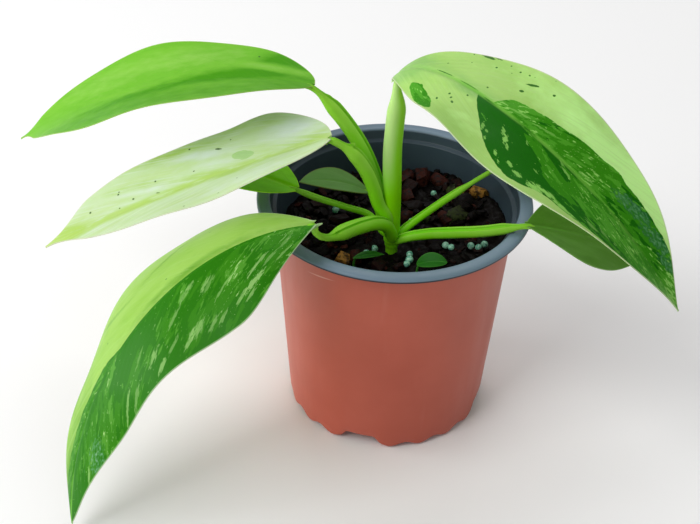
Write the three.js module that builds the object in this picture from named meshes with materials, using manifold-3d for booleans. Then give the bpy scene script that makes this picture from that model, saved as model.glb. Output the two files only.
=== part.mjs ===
// Potted philodendron: a young variegated plant in a two-tone nursery pot.
//
// Millimetres, +Z up. The origin is the centre of the pot's underside, on the surface it stands on;
// -Y is the side that leaf C and leaf D lean over. Headings are degrees from +X, turning towards +Y.

import * as THREE from 'three';
import { mergeVertices } from 'three/addons/utils/BufferGeometryUtils.js';
import Module from 'manifold-3d';

const wasm = await Module();
wasm.setup();

// ---------------------------------------------------------------- driving dimensions

const GAP = 0.35; // clearance kept between neighbouring pieces

const POT = {
  height: 99,
  rimOuter: 55, // outside of the turned-down lip
  rimInner: 49.4, // inside edge of the flat rim
  lipDrop: 2.4,
  collarHeight: 4.8, // straight band under the rim, above the stacking ledge
  bodyTop: 48.1, // outside radius just under the collar
  baseRadius: 40.9, // outside radius at the feet
  wall: 1.2,
  floorUnderside: 5.5, // the floor is raised by the height of a drainage notch
  bossRadius: 8, // centre boss that the middle of the floor stands on
  footRing: 3.6, // radial width of the foot ring
  footPitches: 20, // scallops round the foot ring
  footNotch: 2.1, // height of the small notches between feet
  drainNotches: 4, // wide notches, each in the place of one foot
  drainHeading: -103, // heading of the first wide notch
  drainHoles: 8,
  drainHoleRadius: 3.5,
  drainHoleCircle: 25,
  segments: 80,
};

const MIX = {
  level: 83, // height of the surface at the middle
  slope: 0.05, // rise towards +X
  unevenness: 0.9,
  segments: 36,
  rings: 6,
  chips: 28,
  chipSize: [2.2, 4.6],
  beadRadius: 1.5,
  clearRound: 7.5, // no chip this close to a stem
};

// Fertiliser beads that lie in the open, at their places on the surface.
const BEAD_SPOTS = [
  [5, 6], [9, 3], [6, -17], [6, -21], [5, -24], [-9, -16],
  [-6, -12], [19, -15], [28, -16], [31, -17], [-24, 12], [16, 26],
];

const CROWN = { x: -0.3, y: -12, buried: 52, neck: 2.2, top: 3.4, shoulder: 88, tip: 90.5 };

const SKIN = { thickness: 0.9, ribHalfWidth: 1.5, tipHalfWidth: 0.5 };
const LARGE_BLADE = { rows: 22, columns: [0.38, 0.7, 1], ribDepth: 1.3 }; // columns beyond the midrib
const SMALL_BLADE = { rows: 14, columns: [0.6, 1], ribDepth: 0.8 };
const SEEDLING_BLADE = { rows: 8, columns: [1], ribDepth: 0.2 };
const SMALL_LENGTH = 80; // blades shorter than this are small ones

// One entry for each leaf, oldest growth last. `blade` follows the midrib from its base: it leaves at
// `heading` and `climb`, turns by `sweep` and falls by `droop` on the way to the tip (`late` above 1
// keeps the fall for the end). `roll` and `twist` turn it about the midrib, `left` and `right` are its
// half widths, `widest`, `shoulder` and `taper` shape the outline, `fold` is the V of its halves at
// base and tip, `curl` bows them, and `wave` lifts the margins with `phase` for each side.
// `petiole` runs from the crown through `path` to the blade, `sheath` wide and then `stalk` wide.
const LEAVES = {
  d: {
    blade: {
      base: [-2.1, -1.8, 154.5], length: 156.7, heading: -57.2, sweep: 41, climb: 63.2, droop: 120,
      late: 0.5, roll: 22.4, twist: -19, left: 22.4, right: 23.8, widest: 0.55, shoulder: 0.69,
      taper: 0.96, fold: [-15, 23], curl: 0.09, wave: 1.3, phase: [0.14, 0.52],
    },
    petiole: { path: [[-0.8, -8.7, 91.5], [-1.6, -8, 107], [-1.8, -6.8, 125], [0, -4.8, 142]],
      root: 6.4, sheath: 7.7, until: 0.9, stalk: 4.2 },
    colour: 'variegated',
  },
  a: {
    blade: {
      base: [-34.4, -1, 148.1], length: 145.3, heading: 160.3, sweep: 4, climb: -1.1, droop: 37.9,
      late: 0.7, roll: 7.2, twist: -25, left: 28.2, right: 27.1, widest: 0.5, shoulder: 0.48,
      taper: 1.01, fold: [8.8, 13.2], curl: 0.01, wave: 0.6, phase: [0.23, -0.06],
    },
    petiole: { path: [[-4.6, -5.4, 91], [-5.6, -4.2, 99], [-13.5, -2.8, 121.5], [-24.2, -1.5, 137.5]],
      root: 5, sheath: 6.6, until: 0.86, stalk: 2.6 },
    colour: 'lime',
  },
  b: {
    blade: {
      base: [-26.5, -14, 133], length: 127, heading: 176, sweep: 8, climb: -25, droop: 5, late: 1,
      roll: 2, twist: -19, left: 22, right: 23, widest: 0.22, shoulder: 0.6, taper: 0.83,
      fold: [11, 16], curl: 0.01, wave: 0.7, phase: [-0.16, 0.5],
    },
    petiole: { path: [[-5, -11.8, 91.5], [-6, -11.2, 100], [-10, -11.8, 115], [-16.5, -12.4, 125.5]],
      root: 5, sheath: 6.2, until: 0.88, stalk: 2.8 },
    colour: 'cream',
  },
  c: {
    blade: {
      base: [-29.6, -45, 114.9], length: 166.4, heading: 194.2, sweep: 45, climb: 3.6, droop: 89.6,
      late: 0.79, roll: -5.2, twist: 27, left: 29.5, right: 28.9, widest: 0.26, shoulder: 0.95,
      taper: 0.9, fold: [-5.3, 2.1], curl: -0.21, wave: 1.7, phase: [0, 0.15],
    },
    petiole: { path: [[-0.4, -16.6, 87.6], [-3.6, -17.2, 94.6], [-11, -21, 99.5], [-19.5, -32, 103.5],
      [-25, -39, 106]], root: 5.4, sheath: 6.8, until: 0.72, stalk: 3 },
    colour: 'variegated',
  },
  e: {
    blade: {
      base: [52, -20, 102.3], length: 62, heading: 23, sweep: -5.5, climb: -20, droop: 12, late: 1.1,
      roll: 13.5, twist: 13.5, left: 17, right: 17.2, widest: 0.39, shoulder: 0.75, taper: 1.1,
      fold: [13, -2.5], curl: 0.01, wave: 0.1, phase: [0, 0],
    },
    petiole: { path: [[4, -13.4, 88], [13, -13.7, 90.8], [24, -15.2, 93.3], [34.5, -18, 96.6],
      [43.5, -20.3, 100.2]],
      root: 4.2, sheath: 4.6, until: 0.84, stalk: 2.4 },
    colour: 'green',
  },
  h: {
    blade: {
      base: [37.5, 11, 106], length: 50, heading: 22, sweep: 6, climb: 22, droop: 44, late: 1,
      roll: 6, twist: 4, left: 12.5, right: 12.5, widest: 0.4, shoulder: 0.7, taper: 1.1,
      fold: [12, 6], curl: 0.02, wave: 0.2, phase: [0, 0.3],
    },
    petiole: { path: [[3.6, -9, 88.5], [7.5, -7, 91.3], [19.5, 0.8, 97.2], [28, 6.2, 100.8]],
      root: 3.8, sheath: 3.6, until: 0.7, stalk: 2.3 },
    colour: 'green',
  },
  f: {
    blade: {
      base: [-39.5, -8, 105.5], length: 54, heading: 158, sweep: -4, climb: 6, droop: 26, late: 1.1,
      roll: -4, twist: 0, left: 12.5, right: 12.5, widest: 0.38, shoulder: 0.5, taper: 1.05,
      fold: [8, 11], curl: 0, wave: 0.1, phase: [0.4, 0],
    },
    petiole: { path: [[-4.6, -8.4, 87.6], [-9.5, -3.6, 91.2], [-19, -5.6, 96], [-31, -8, 101.5]],
      root: 3.2, sheath: 3.3, until: 0.88, stalk: 1.9 },
    colour: 'green',
  },
  g: {
    blade: {
      base: [-10.5, 10.3, 93], length: 33, heading: 203, sweep: 5, climb: 37, droop: 33, late: 1.1,
      roll: 1, twist: -5, left: 9, right: 9, widest: 0.42, shoulder: 0.65, taper: 0.85,
      fold: [13, 3], curl: 0.02, wave: 0.1, phase: [0, 0.2],
    },
    petiole: { path: [[-3, -5, 86.8], [-5, -1, 87.6], [-7.5, 4.5, 89.3]],
      root: 2.8, sheath: 2.6, until: 0.6, stalk: 1.8 },
    colour: 'green',
  },
};

const SEEDLINGS = {
  seedling_1: {
    foot: [-14.6, -24.4], base: [-15, -24.6, 85.2], length: 12.5, heading: 16, climb: 12, droop: 26,
    left: 2.2, right: 2.2, widest: 0.45, shoulder: 0.8, taper: 0.9, colour: 'green',
  },
  seedling_2: {
    foot: [10.2, -27.2], base: [9.8, -27.3, 85.8], length: 12, heading: 5, climb: 20, droop: 34,
    left: 5, right: 4.2, widest: 0.5, shoulder: 0.55, taper: 0.6, colour: 'green',
  },
};

const FINISH = {
  pot: { color: '#ae5a49', roughness: 0.45 },
  mix: { color: '#2a1a12', roughness: 0.95 },
  stalk: { color: '#86b83c', roughness: 0.4 },
  lime: { color: '#6fb52c', roughness: 0.38 },
  cream: { color: '#cfe3a6', roughness: 0.38 },
  green: { color: '#3f7f22', roughness: 0.38 },
  variegated: { color: '#7fb04a', roughness: 0.38 },
};

// ---------------------------------------------------------------- closed surfaces

const radians = THREE.MathUtils.degToRad;
const lerp = THREE.MathUtils.lerp;
const smoothstep = THREE.MathUtils.smoothstep;

/** A repeatable sequence of numbers from 0 to 1. */
function seededRandom(seed) {
  let state = seed;
  return () => {
    state = (Math.imul(state, 1664525) + 1013904223) >>> 0;
    return state / 4294967296;
  };
}

/** A geometry of the points and triangles, turned so that its faces point out. */
function closedGeometry(points, triangles) {
  const geometry = new THREE.BufferGeometry();
  geometry.setFromPoints(points);
  let volume = 0;
  for (const [a, b, c] of triangles) {
    volume += points[a].dot(points[b].clone().cross(points[c]));
  }
  const order = volume < 0 ? ([a, b, c]) => [a, c, b] : (triangle) => triangle;
  geometry.setIndex(triangles.map(order).flat());
  return geometry;
}

/** Rings of equal length skinned in order and closed by a fan to a point at each end. */
function skinRings(rings, first, last) {
  const count = rings[0].length;
  const points = [...rings.flat(), first, last];
  const firstIndex = points.length - 2;
  const lastIndex = points.length - 1;
  const lastRing = (rings.length - 1) * count;
  const triangles = [];
  for (let j = 0; j < count; j++) {
    const next = (j + 1) % count;
    triangles.push([firstIndex, next, j]);
    triangles.push([lastIndex, lastRing + j, lastRing + next]);
    for (let i = 0; i < rings.length - 1; i++) {
      const row = i * count;
      const above = row + count;
      triangles.push([row + j, row + next, above + next], [row + j, above + next, above + j]);
    }
  }
  return closedGeometry(points, triangles);
}

/** Two facing grids of points joined round their edge; both are split into triangles alike. */
function slab(upper, lower) {
  const rows = upper.length - 1;
  const columns = upper[0].length - 1;
  const points = [...upper.flat(), ...lower.flat()];
  const under = upper.length * upper[0].length;
  const at = (i, j) => i * (columns + 1) + j;
  const triangles = [];
  for (let i = 0; i < rows; i++) {
    for (let j = 0; j < columns; j++) {
      const [a, b, c, d] = [at(i, j), at(i + 1, j), at(i + 1, j + 1), at(i, j + 1)];
      triangles.push([a, b, c], [a, c, d]);
      triangles.push([under + a, under + c, under + b], [under + a, under + d, under + c]);
    }
  }
  const wall = (a, b) => triangles.push([a, under + b, b], [a, under + a, under + b]);
  for (let i = 0; i < rows; i++) {
    wall(at(i, 0), at(i + 1, 0));
    wall(at(i + 1, columns), at(i, columns));
  }
  for (let j = 0; j < columns; j++) {
    wall(at(rows, j), at(rows, j + 1));
    wall(at(0, j + 1), at(0, j));
  }
  return closedGeometry(points, triangles);
}

/** The geometry as a solid that can be joined and cut. */
function solidOf(geometry) {
  const plain = geometry.clone();
  plain.deleteAttribute('normal');
  plain.deleteAttribute('uv');
  const merged = mergeVertices(plain, 1e-4);
  return new wasm.Manifold(new wasm.Mesh({
    numProp: 3,
    vertProperties: new Float32Array(merged.attributes.position.array),
    triVerts: new Uint32Array(merged.index.array),
  }));
}

/** The largest body of a solid, as a geometry. */
function geometryOf(solid) {
  const bodies = solid.decompose();
  bodies.sort((a, b) => b.volume() - a.volume());
  const mesh = bodies[0].getMesh();
  const geometry = new THREE.BufferGeometry();
  geometry.setAttribute('position', new THREE.BufferAttribute(mesh.vertProperties, 3));
  geometry.setIndex(new THREE.BufferAttribute(mesh.triVerts, 1));
  return geometry;
}

/** An upright cylinder from one height to another. */
function post(radius, x, y, from, to, sides) {
  const geometry = new THREE.CylinderGeometry(radius, radius, to - from, sides);
  geometry.rotateX(Math.PI / 2);
  geometry.translate(x, y, (from + to) / 2);
  return geometry;
}

// ---------------------------------------------------------------- pot

/** Outside radius of the tapered body at a height. */
function bodyRadius(z) {
  const top = POT.height - POT.collarHeight - POT.wall;
  return POT.baseRadius + ((POT.bodyTop - POT.baseRadius) * z) / top;
}

/** Height of the foot ring's underside at a heading: nothing on a foot, raised in the notches. */
function footLift(angle) {
  const pitches = ((angle - radians(POT.drainHeading)) * POT.footPitches) / (2 * Math.PI);
  const every = POT.footPitches / POT.drainNotches;
  const fromDrain = Math.abs(pitches - every * Math.round(pitches / every));
  const small = POT.footNotch * (0.5 - 0.5 * Math.cos(2 * Math.PI * pitches));
  const wide = POT.floorUnderside * (1 - smoothstep(fromDrain, 0.4, 0.8));
  return Math.max(small, wide);
}

/** Section of the pot from the middle of its underside, over the rim, to the middle of its floor. */
function potSection(lift) {
  const { height, rimOuter, rimInner, wall, baseRadius, bossRadius, floorUnderside } = POT;
  const ledge = height - POT.collarHeight;
  const floorTop = floorUnderside + wall;
  const lipFoot = height - POT.lipDrop;
  return [
    [bossRadius, 0],
    [bossRadius + 1.5, floorUnderside],
    [baseRadius - POT.footRing - 1.2, floorUnderside],
    [baseRadius - POT.footRing, lift],
    [baseRadius - 1, lift],
    [baseRadius + 0.05, lift + 1.1],
    [bodyRadius(9), 9],
    [POT.bodyTop, ledge - wall],
    [rimInner + 0.4, ledge - 0.2],
    [rimInner + wall, lipFoot + 0.9],
    [rimOuter - 1.2, lipFoot],
    [rimOuter - 0.2, lipFoot + 0.3],
    [rimOuter, lipFoot + 1.1],
    [rimOuter - 0.3, height - 0.5],
    [rimOuter - 1.3, height],
    [rimInner + 0.8, height],
    [rimInner, height - 0.7],
    [rimInner - 0.7, ledge + 0.6],
    [POT.bodyTop - wall, ledge],
    [bodyRadius(9) - wall, 9],
    [baseRadius - wall - 1.4, floorTop],
  ];
}

function potGeometry() {
  const headings = Array.from({ length: POT.segments }, (_, j) =>
    radians(POT.drainHeading) + (2 * Math.PI * j) / POT.segments);
  const sections = headings.map((angle) => potSection(footLift(angle)));
  const rings = sections[0].map((_, i) => headings.map((angle, j) => {
    const [radius, z] = sections[j][i];
    return new THREE.Vector3(radius * Math.cos(angle), radius * Math.sin(angle), z);
  }));
  const floorTop = POT.floorUnderside + POT.wall;
  const shell = skinRings(rings, new THREE.Vector3(0, 0, 0), new THREE.Vector3(0, 0, floorTop));
  let solid = solidOf(shell);
  for (let k = 0; k < POT.drainHoles; k++) {
    const angle = radians(POT.drainHeading) + (2 * Math.PI * (k + 0.5)) / POT.drainHoles;
    const x = POT.drainHoleCircle * Math.cos(angle);
    const y = POT.drainHoleCircle * Math.sin(angle);
    solid = solid.subtract(solidOf(post(POT.drainHoleRadius, x, y, 2, 10, 12)));
  }
  return geometryOf(solid);
}

// ---------------------------------------------------------------- growing mix

/** Height of the mix at a place: a slight slope with soft lumps. */
function mixHeight(x, y) {
  const lumps = Math.sin(x / 6.1 + y / 9.3) + 0.8 * Math.cos(y / 5.2 - x / 11);
  return MIX.level + MIX.slope * x + MIX.unevenness * lumps;
}

/** A rough pebble of about the given radius, at a place, turned at random. */
function pebble(radius, place, random, roughness) {
  const plain = new THREE.IcosahedronGeometry(radius, 0);
  plain.deleteAttribute('normal');
  plain.deleteAttribute('uv');
  const geometry = mergeVertices(plain, 1e-3);
  const position = geometry.attributes.position;
  for (let i = 0; i < position.count; i++) {
    const stretch = 1 + roughness * (random() - 0.5);
    position.setXYZ(i, position.getX(i) * stretch, position.getY(i) * stretch, position.getZ(i) * stretch);
  }
  geometry.scale(1, 1 - roughness * random(), 1 - 0.7 * roughness);
  geometry.rotateZ(2 * Math.PI * random());
  geometry.rotateX(roughness * (random() - 0.5));
  geometry.translate(...place);
  return geometry;
}

/** Places for chips on a sunflower spiral, clear of the stems that stand in the mix. */
function chipPlaces() {
  const goldenAngle = Math.PI * (3 - Math.sqrt(5));
  const reach = bodyRadius(MIX.level) - POT.wall - MIX.chipSize[1] - 1.5;
  const stems = [[CROWN.x, CROWN.y], ...Object.values(SEEDLINGS).map((seedling) => seedling.foot)];
  const places = [];
  for (let k = 0; k < MIX.chips; k++) {
    const radius = reach * Math.sqrt((k + 0.5) / MIX.chips);
    const x = radius * Math.cos(k * goldenAngle);
    const y = radius * Math.sin(k * goldenAngle);
    if (stems.every(([sx, sy]) => Math.hypot(x - sx, y - sy) > MIX.clearRound)) {
      places.push([x, y]);
    }
  }
  return places;
}

function mixGeometry() {
  const random = seededRandom(41);
  const floor = POT.floorUnderside + POT.wall + GAP;
  const inside = (z) => bodyRadius(z) - POT.wall - GAP;
  const ring = (radius, height) => Array.from({ length: MIX.segments }, (_, j) => {
    const angle = (2 * Math.PI * j) / MIX.segments;
    const x = radius * Math.cos(angle);
    const y = radius * Math.sin(angle);
    return new THREE.Vector3(x, y, height(x, y));
  });
  const rings = [
    ring(POT.baseRadius - POT.wall - 1.4 - GAP, () => floor),
    ring(inside(9), () => 9),
  ];
  for (let k = MIX.rings; k > 0; k--) {
    const radius = (inside(MIX.level - 4) * k) / MIX.rings;
    const rough = k === MIX.rings ? 0 : MIX.unevenness;
    rings.push(ring(radius, (x, y) => mixHeight(x, y) + rough * (random() - 0.5)));
  }
  const body = skinRings(rings, new THREE.Vector3(0, 0, floor), new THREE.Vector3(0, 0, mixHeight(0, 0)));
  let solid = solidOf(body);
  for (const [x, y] of chipPlaces()) {
    const size = lerp(...MIX.chipSize, random());
    solid = solid.add(solidOf(pebble(size, [x, y, mixHeight(x, y) - 0.1 * size], random, 0.5)));
  }
  for (const [x, y] of BEAD_SPOTS) {
    const z = mixHeight(x, y) + 0.4 * MIX.beadRadius;
    solid = solid.add(solidOf(pebble(MIX.beadRadius, [x, y, z], random, 0.1)));
  }
  const crownHole = post(CROWN.neck + 0.9, CROWN.x, CROWN.y, CROWN.buried - GAP, MIX.level + 20, 12);
  solid = solid.subtract(solidOf(crownHole));
  for (const { foot } of Object.values(SEEDLINGS)) {
    solid = solid.subtract(solidOf(post(0.8 + GAP, ...foot, MIX.level - 8 - GAP, MIX.level + 20, 8)));
  }
  return geometryOf(solid);
}

// ---------------------------------------------------------------- crown and leaf stalks

/** The short stem: buried, narrow at the neck, swelling where the sheaths clasp it. */
function crownGeometry(grow) {
  const { buried, neck, top, shoulder, tip } = CROWN;
  const profile = [
    [0, buried - grow], [neck * 0.8 + grow, buried - grow], [neck + grow, MIX.level], [top + grow, shoulder],
    [top * 0.7 + grow, tip - 0.6 + grow], [0, tip + grow],
  ];
  const geometry = new THREE.LatheGeometry(profile.map(([r, z]) => new THREE.Vector2(r, z)), 12);
  geometry.rotateX(Math.PI / 2);
  geometry.translate(CROWN.x, CROWN.y, 0);
  return geometry;
}

/** Width of a leaf stalk along it: the sheath from the crown, then the bare stalk. */
function stalkWidth(petiole, t) {
  const swell = lerp(petiole.root, petiole.sheath, smoothstep(t, 0, 0.4));
  return lerp(swell, petiole.stalk, smoothstep(t, petiole.until - 0.14, petiole.until + 0.04));
}

/** A leaf stalk with the channel on its upper side, fatter by `grow` all round. */
function petioleGeometry({ blade, petiole }, grow) {
  const sides = 8;
  const steps = 12;
  const { tangent } = midribFrame(blade, 0.03);
  const before = (distance) => new THREE.Vector3(...blade.base).addScaledVector(tangent, -distance);
  const route = [...petiole.path.map((place) => new THREE.Vector3(...place)), before(3), before(2 * GAP)];
  const curve = new THREE.CatmullRomCurve3(route);
  const heading = radians(blade.heading);
  const inward = new THREE.Vector3(-Math.cos(heading), -Math.sin(heading), 1);
  const rings = [];
  for (let i = 0; i <= steps; i++) {
    const t = i / steps;
    const along = curve.getTangentAt(t);
    const face = inward.clone().addScaledVector(along, -inward.dot(along)).normalize();
    const side = along.clone().cross(face);
    const halfWidth = stalkWidth(petiole, t) / 2;
    const ring = [];
    for (let j = 0; j < sides; j++) {
      const angle = (2 * Math.PI * j) / sides;
      const channel = j === 0 ? 0.45 : 1;
      const point = curve.getPointAt(t);
      point.addScaledVector(side, Math.sin(angle) * (halfWidth + grow));
      point.addScaledVector(face, Math.cos(angle) * (0.84 * halfWidth * channel + grow));
      ring.push(point);
    }
    rings.push(ring);
  }
  const reach = (t, way) => curve.getPointAt(t).addScaledVector(curve.getTangentAt(t), way * (0.2 + grow));
  return skinRings(rings, reach(0, -1), reach(1, 1));
}

// ---------------------------------------------------------------- blades

/** Tangent, sideways and upward directions of a blade's midrib at a fraction of its length. */
function midribFrame(blade, t) {
  const heading = radians(blade.heading + (blade.sweep ?? 0) * t);
  const pitch = radians(blade.climb - blade.droop * t ** (blade.late ?? 1));
  const roll = radians((blade.roll ?? 0) + (blade.twist ?? 0) * t);
  const tangent = new THREE.Vector3(
    Math.cos(heading) * Math.cos(pitch), Math.sin(heading) * Math.cos(pitch), Math.sin(pitch));
  const level = new THREE.Vector3(-Math.sin(heading), Math.cos(heading), 0);
  const square = tangent.clone().cross(level);
  const side = level.clone().multiplyScalar(Math.cos(roll)).addScaledVector(square, Math.sin(roll));
  const up = square.multiplyScalar(Math.cos(roll)).addScaledVector(level, -Math.sin(roll));
  return { tangent, side, up };
}

/** Points of the midrib at equal steps from base to tip. */
function midribPoints(blade, rows) {
  const finer = 4;
  const point = new THREE.Vector3(...blade.base);
  const points = [point.clone()];
  for (let k = 0; k < rows * finer; k++) {
    const { tangent } = midribFrame(blade, (k + 0.5) / (rows * finer));
    point.addScaledVector(tangent, blade.length / (rows * finer));
    if ((k + 1) % finer === 0) {
      points.push(point.clone());
    }
  }
  return points;
}

/** Half width of a blade at a fraction of its length, 1 at its widest. */
function outline(blade, t) {
  if (t < blade.widest) {
    return Math.sin((Math.PI / 2) * (t / blade.widest)) ** blade.shoulder;
  }
  const toTip = Math.min(1, (t - blade.widest) / (1 - blade.widest));
  return Math.max(0, Math.cos((Math.PI / 2) * toTip)) ** blade.taper;
}

/** The blade's middle surface as a grid of points from base to tip and from right to left. */
function bladeGrid(blade, rows, columns) {
  const spine = midribPoints(blade, rows);
  const [foldBase, foldTip] = blade.fold ?? [10, 10];
  const [phaseLeft, phaseRight] = blade.phase ?? [0, 0];
  return spine.map((centre, i) => {
    const t = i / rows;
    const { side, up } = midribFrame(blade, t);
    const fold = radians(lerp(foldBase, foldTip, t));
    const rib = lerp(SKIN.ribHalfWidth, SKIN.tipHalfWidth, t);
    const place = (reach, way) => {
      const width = Math.max(rib, (way > 0 ? blade.left : blade.right) * outline(blade, t));
      const part = reach ?? Math.min(0.34, rib / width);
      const ripple = Math.sin(2 * Math.PI * (2.5 * t + (way > 0 ? phaseLeft : phaseRight)));
      const wave = (blade.wave ?? 0) * ripple * part ** 2 * Math.min(1, width / 20);
      const rise = (Math.sin(fold) * part + (blade.curl ?? 0) * part ** 2) * width + wave;
      return centre.clone()
        .addScaledVector(side, way * part * Math.cos(fold) * width)
        .addScaledVector(up, rise);
    };
    const half = (way) => [null, ...columns].map((reach) => place(reach, way));
    return [...half(-1).reverse(), centre.clone(), ...half(1)];
  });
}

/** Unit normal of a grid of points at one of them. */
function gridNormal(grid, i, j) {
  const alongA = grid[Math.max(0, i - 1)][j];
  const alongB = grid[Math.min(grid.length - 1, i + 1)][j];
  const acrossA = grid[i][Math.max(0, j - 1)];
  const acrossB = grid[i][Math.min(grid[i].length - 1, j + 1)];
  return alongB.clone().sub(alongA).cross(acrossB.clone().sub(acrossA)).normalize();
}

/** A blade as a thin solid with the midrib standing out of its underside. */
function bladeGeometry(blade, { rows, columns, ribDepth }) {
  const grid = bladeGrid(blade, rows, columns);
  const middle = columns.length + 1;
  const half = SKIN.thickness / 2;
  const shift = (i, j, amount) => grid[i][j].clone().addScaledVector(gridNormal(grid, i, j), amount);
  const upper = grid.map((row, i) => row.map((_, j) => shift(i, j, half)));
  const lower = grid.map((row, i) => row.map((_, j) => {
    const rib = j === middle ? ribDepth * (1 - i / rows) : 0;
    return shift(i, j, -half - rib);
  }));
  return slab(upper, lower);
}

/** A small self-sown plant: one leaf on a thin stem that stands in the mix. */
function seedlingGeometry(seedling) {
  const [x, y] = seedling.foot;
  const blade = { ...seedling, sweep: 0, late: 1.2 };
  const leaf = bladeGeometry(blade, SEEDLING_BLADE);
  const stem = post(0.8, x, y, MIX.level - 8, seedling.base[2] + 0.3, 8);
  return geometryOf(solidOf(leaf).add(solidOf(stem)));
}

// ---------------------------------------------------------------- assembly

/** A named mesh with the finish of that name. */
function piece(name, geometry, finish) {
  const { color, roughness } = FINISH[finish];
  const material = new THREE.MeshStandardMaterial({ color, roughness, metalness: 0, flatShading: true });
  const mesh = new THREE.Mesh(geometry, material);
  mesh.name = name;
  return mesh;
}

const plant = new THREE.Group();
plant.name = 'potted_philodendron';
plant.add(piece('pot', potGeometry(), 'pot'));
plant.add(piece('potting_mix', mixGeometry(), 'mix'));
plant.add(piece('crown', crownGeometry(0), 'stalk'));

// Each sheath is cut clear of the crown and of the sheaths inside it.
let clasped = solidOf(crownGeometry(GAP));
for (const [letter, leaf] of Object.entries(LEAVES)) {
  const stalk = solidOf(petioleGeometry(leaf, 0)).subtract(clasped);
  clasped = clasped.add(solidOf(petioleGeometry(leaf, GAP)));
  plant.add(piece(`petiole_${letter}`, geometryOf(stalk), 'stalk'));
}

for (const [letter, { blade, colour }] of Object.entries(LEAVES)) {
  const fineness = blade.length < SMALL_LENGTH ? SMALL_BLADE : LARGE_BLADE;
  plant.add(piece(`blade_${letter}`, bladeGeometry(blade, fineness), colour));
}

for (const [name, seedling] of Object.entries(SEEDLINGS)) {
  plant.add(piece(name, seedlingGeometry(seedling), seedling.colour));
}

export default plant;
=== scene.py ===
"""Potted philodendron: its leaves, stalks, growing mix and nursery pot, finished for the camera.

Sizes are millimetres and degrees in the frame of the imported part: +Z up, the origin at the centre of
the pot's underside, -Y towards the camera. Each piece is turned to metres as it is finished. The blades,
stalks and pot follow the same named values as the part's own solids, in finer meshes.
"""

import logging
import math
import random
from dataclasses import dataclass
from enum import Enum
from typing import ClassVar, Sequence

import bmesh
import bpy
from mathutils import Matrix, Vector, noise


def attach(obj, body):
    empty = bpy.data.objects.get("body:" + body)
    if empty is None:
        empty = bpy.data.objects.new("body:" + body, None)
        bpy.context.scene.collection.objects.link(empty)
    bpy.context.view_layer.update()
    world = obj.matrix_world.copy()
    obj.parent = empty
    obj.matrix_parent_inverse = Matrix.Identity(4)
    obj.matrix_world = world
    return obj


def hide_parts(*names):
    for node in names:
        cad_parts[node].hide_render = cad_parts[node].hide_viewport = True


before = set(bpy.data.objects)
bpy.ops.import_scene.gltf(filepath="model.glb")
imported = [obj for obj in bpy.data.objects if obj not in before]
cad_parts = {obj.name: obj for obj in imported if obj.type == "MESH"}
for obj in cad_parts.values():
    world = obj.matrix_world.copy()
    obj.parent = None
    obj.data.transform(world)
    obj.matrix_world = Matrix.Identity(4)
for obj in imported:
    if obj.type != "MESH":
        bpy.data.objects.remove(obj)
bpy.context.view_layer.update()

MM = 0.001  # one millimetre, in metres
TURN = 2 * math.pi

log = logging.getLogger("philodendron")

Pair = tuple[float, float]
Triple = tuple[float, float, float]
Colour = tuple[float, float, float, float]
Socket = bpy.types.NodeSocket
Material = bpy.types.Material
Piece = bpy.types.Object
BMesh = bmesh.types.BMesh

# Node types. Inputs that are given by their place come in the order that the comments say.
MATH = "ShaderNodeMath"
VECTOR_MATH = "ShaderNodeVectorMath"
RANGE = "ShaderNodeMapRange"  # value, from min, from max, to min, to max
NOISE = "ShaderNodeTexNoise"
MAPPING = "ShaderNodeMapping"
SEPARATE = "ShaderNodeSeparateXYZ"
PLACE = "ShaderNodeTexCoord"
ATTRIBUTE = "ShaderNodeAttribute"
BUMP = "ShaderNodeBump"
SMOOTH = {"interpolation_type": "SMOOTHSTEP"}  # RANGE with a soft step in place of a straight one

# Numbers that each blade's mesh carries for its finish, and each stalk's.
# On a blade, "deep" carries painted shade and highlight besides the tissue's own tint, and "wax" a painted
# reflection besides the bloom.
GUIDES = ("zone", "light", "wax", "deep", "rib", "under", "margin")
STALK_GUIDES = ("along", "groove", "wing", "side")


class Slot(Enum):
    """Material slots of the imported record."""

    POT = "pot_plastic"
    MIX = "growing_mix"
    STALK = "leaf_stalk"
    LIME = "lime_leaf"
    CREAM = "cream_leaf"
    VARIEGATED = "variegated_leaf"
    GREEN = "green_leaf"


# ---------------------------------------------------------------- small helpers


def lerp(a: float, b: float, t: float) -> float:
    """The value at the share t of the way from a to b."""
    return a + (b - a) * t


def smoothstep(x: float, low: float, high: float) -> float:
    """0 below low, 1 above high, and a smooth step between them."""
    t = min(1.0, max(0.0, (x - low) / (high - low)))
    return t * t * (3 - 2 * t)


def along_curve(points: Sequence[Pair], x: float, round_off: float = 0.01) -> float:
    """The height at x of the straight lines through the points, with their corners rounded off.

    Args:
        points: (x, height) pairs in rising order of x.
        x: Where to read it.
        round_off: How far to either side the corners are rounded.

    Returns:
        The height, held at the first and last point's beyond them.
    """
    heights = []
    for at in (x - round_off, x, x + round_off):
        height = points[0][1]
        for (x0, y0), (x1, y1) in zip(points, points[1:]):
            if at > x0:
                height = lerp(y0, y1, min(1.0, (at - x0) / (x1 - x0)))
        heights.append(height)
    return sum(heights) / len(heights)


def linear(code: str) -> Colour:
    """An sRGB hex colour such as "#a0b1c2" as linear red, green, blue and alpha."""
    values = [int(code[k : k + 2], 16) / 255 for k in (1, 3, 5)]
    turned = [v / 12.92 if v <= 0.04045 else ((v + 0.055) / 1.055) ** 2.4 for v in values]
    return (*turned, 1.0)


def to_object(bm: BMesh, name: str) -> Piece:
    """Turns a mesh in millimetres, freed here, into an object in metres in the scene."""
    bmesh.ops.scale(bm, vec=(MM, MM, MM), verts=bm.verts)
    mesh = bpy.data.meshes.new(name)
    bm.to_mesh(mesh)
    bm.free()
    made = bpy.data.objects.new(name, mesh)
    bpy.context.scene.collection.objects.link(made)
    return made


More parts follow.
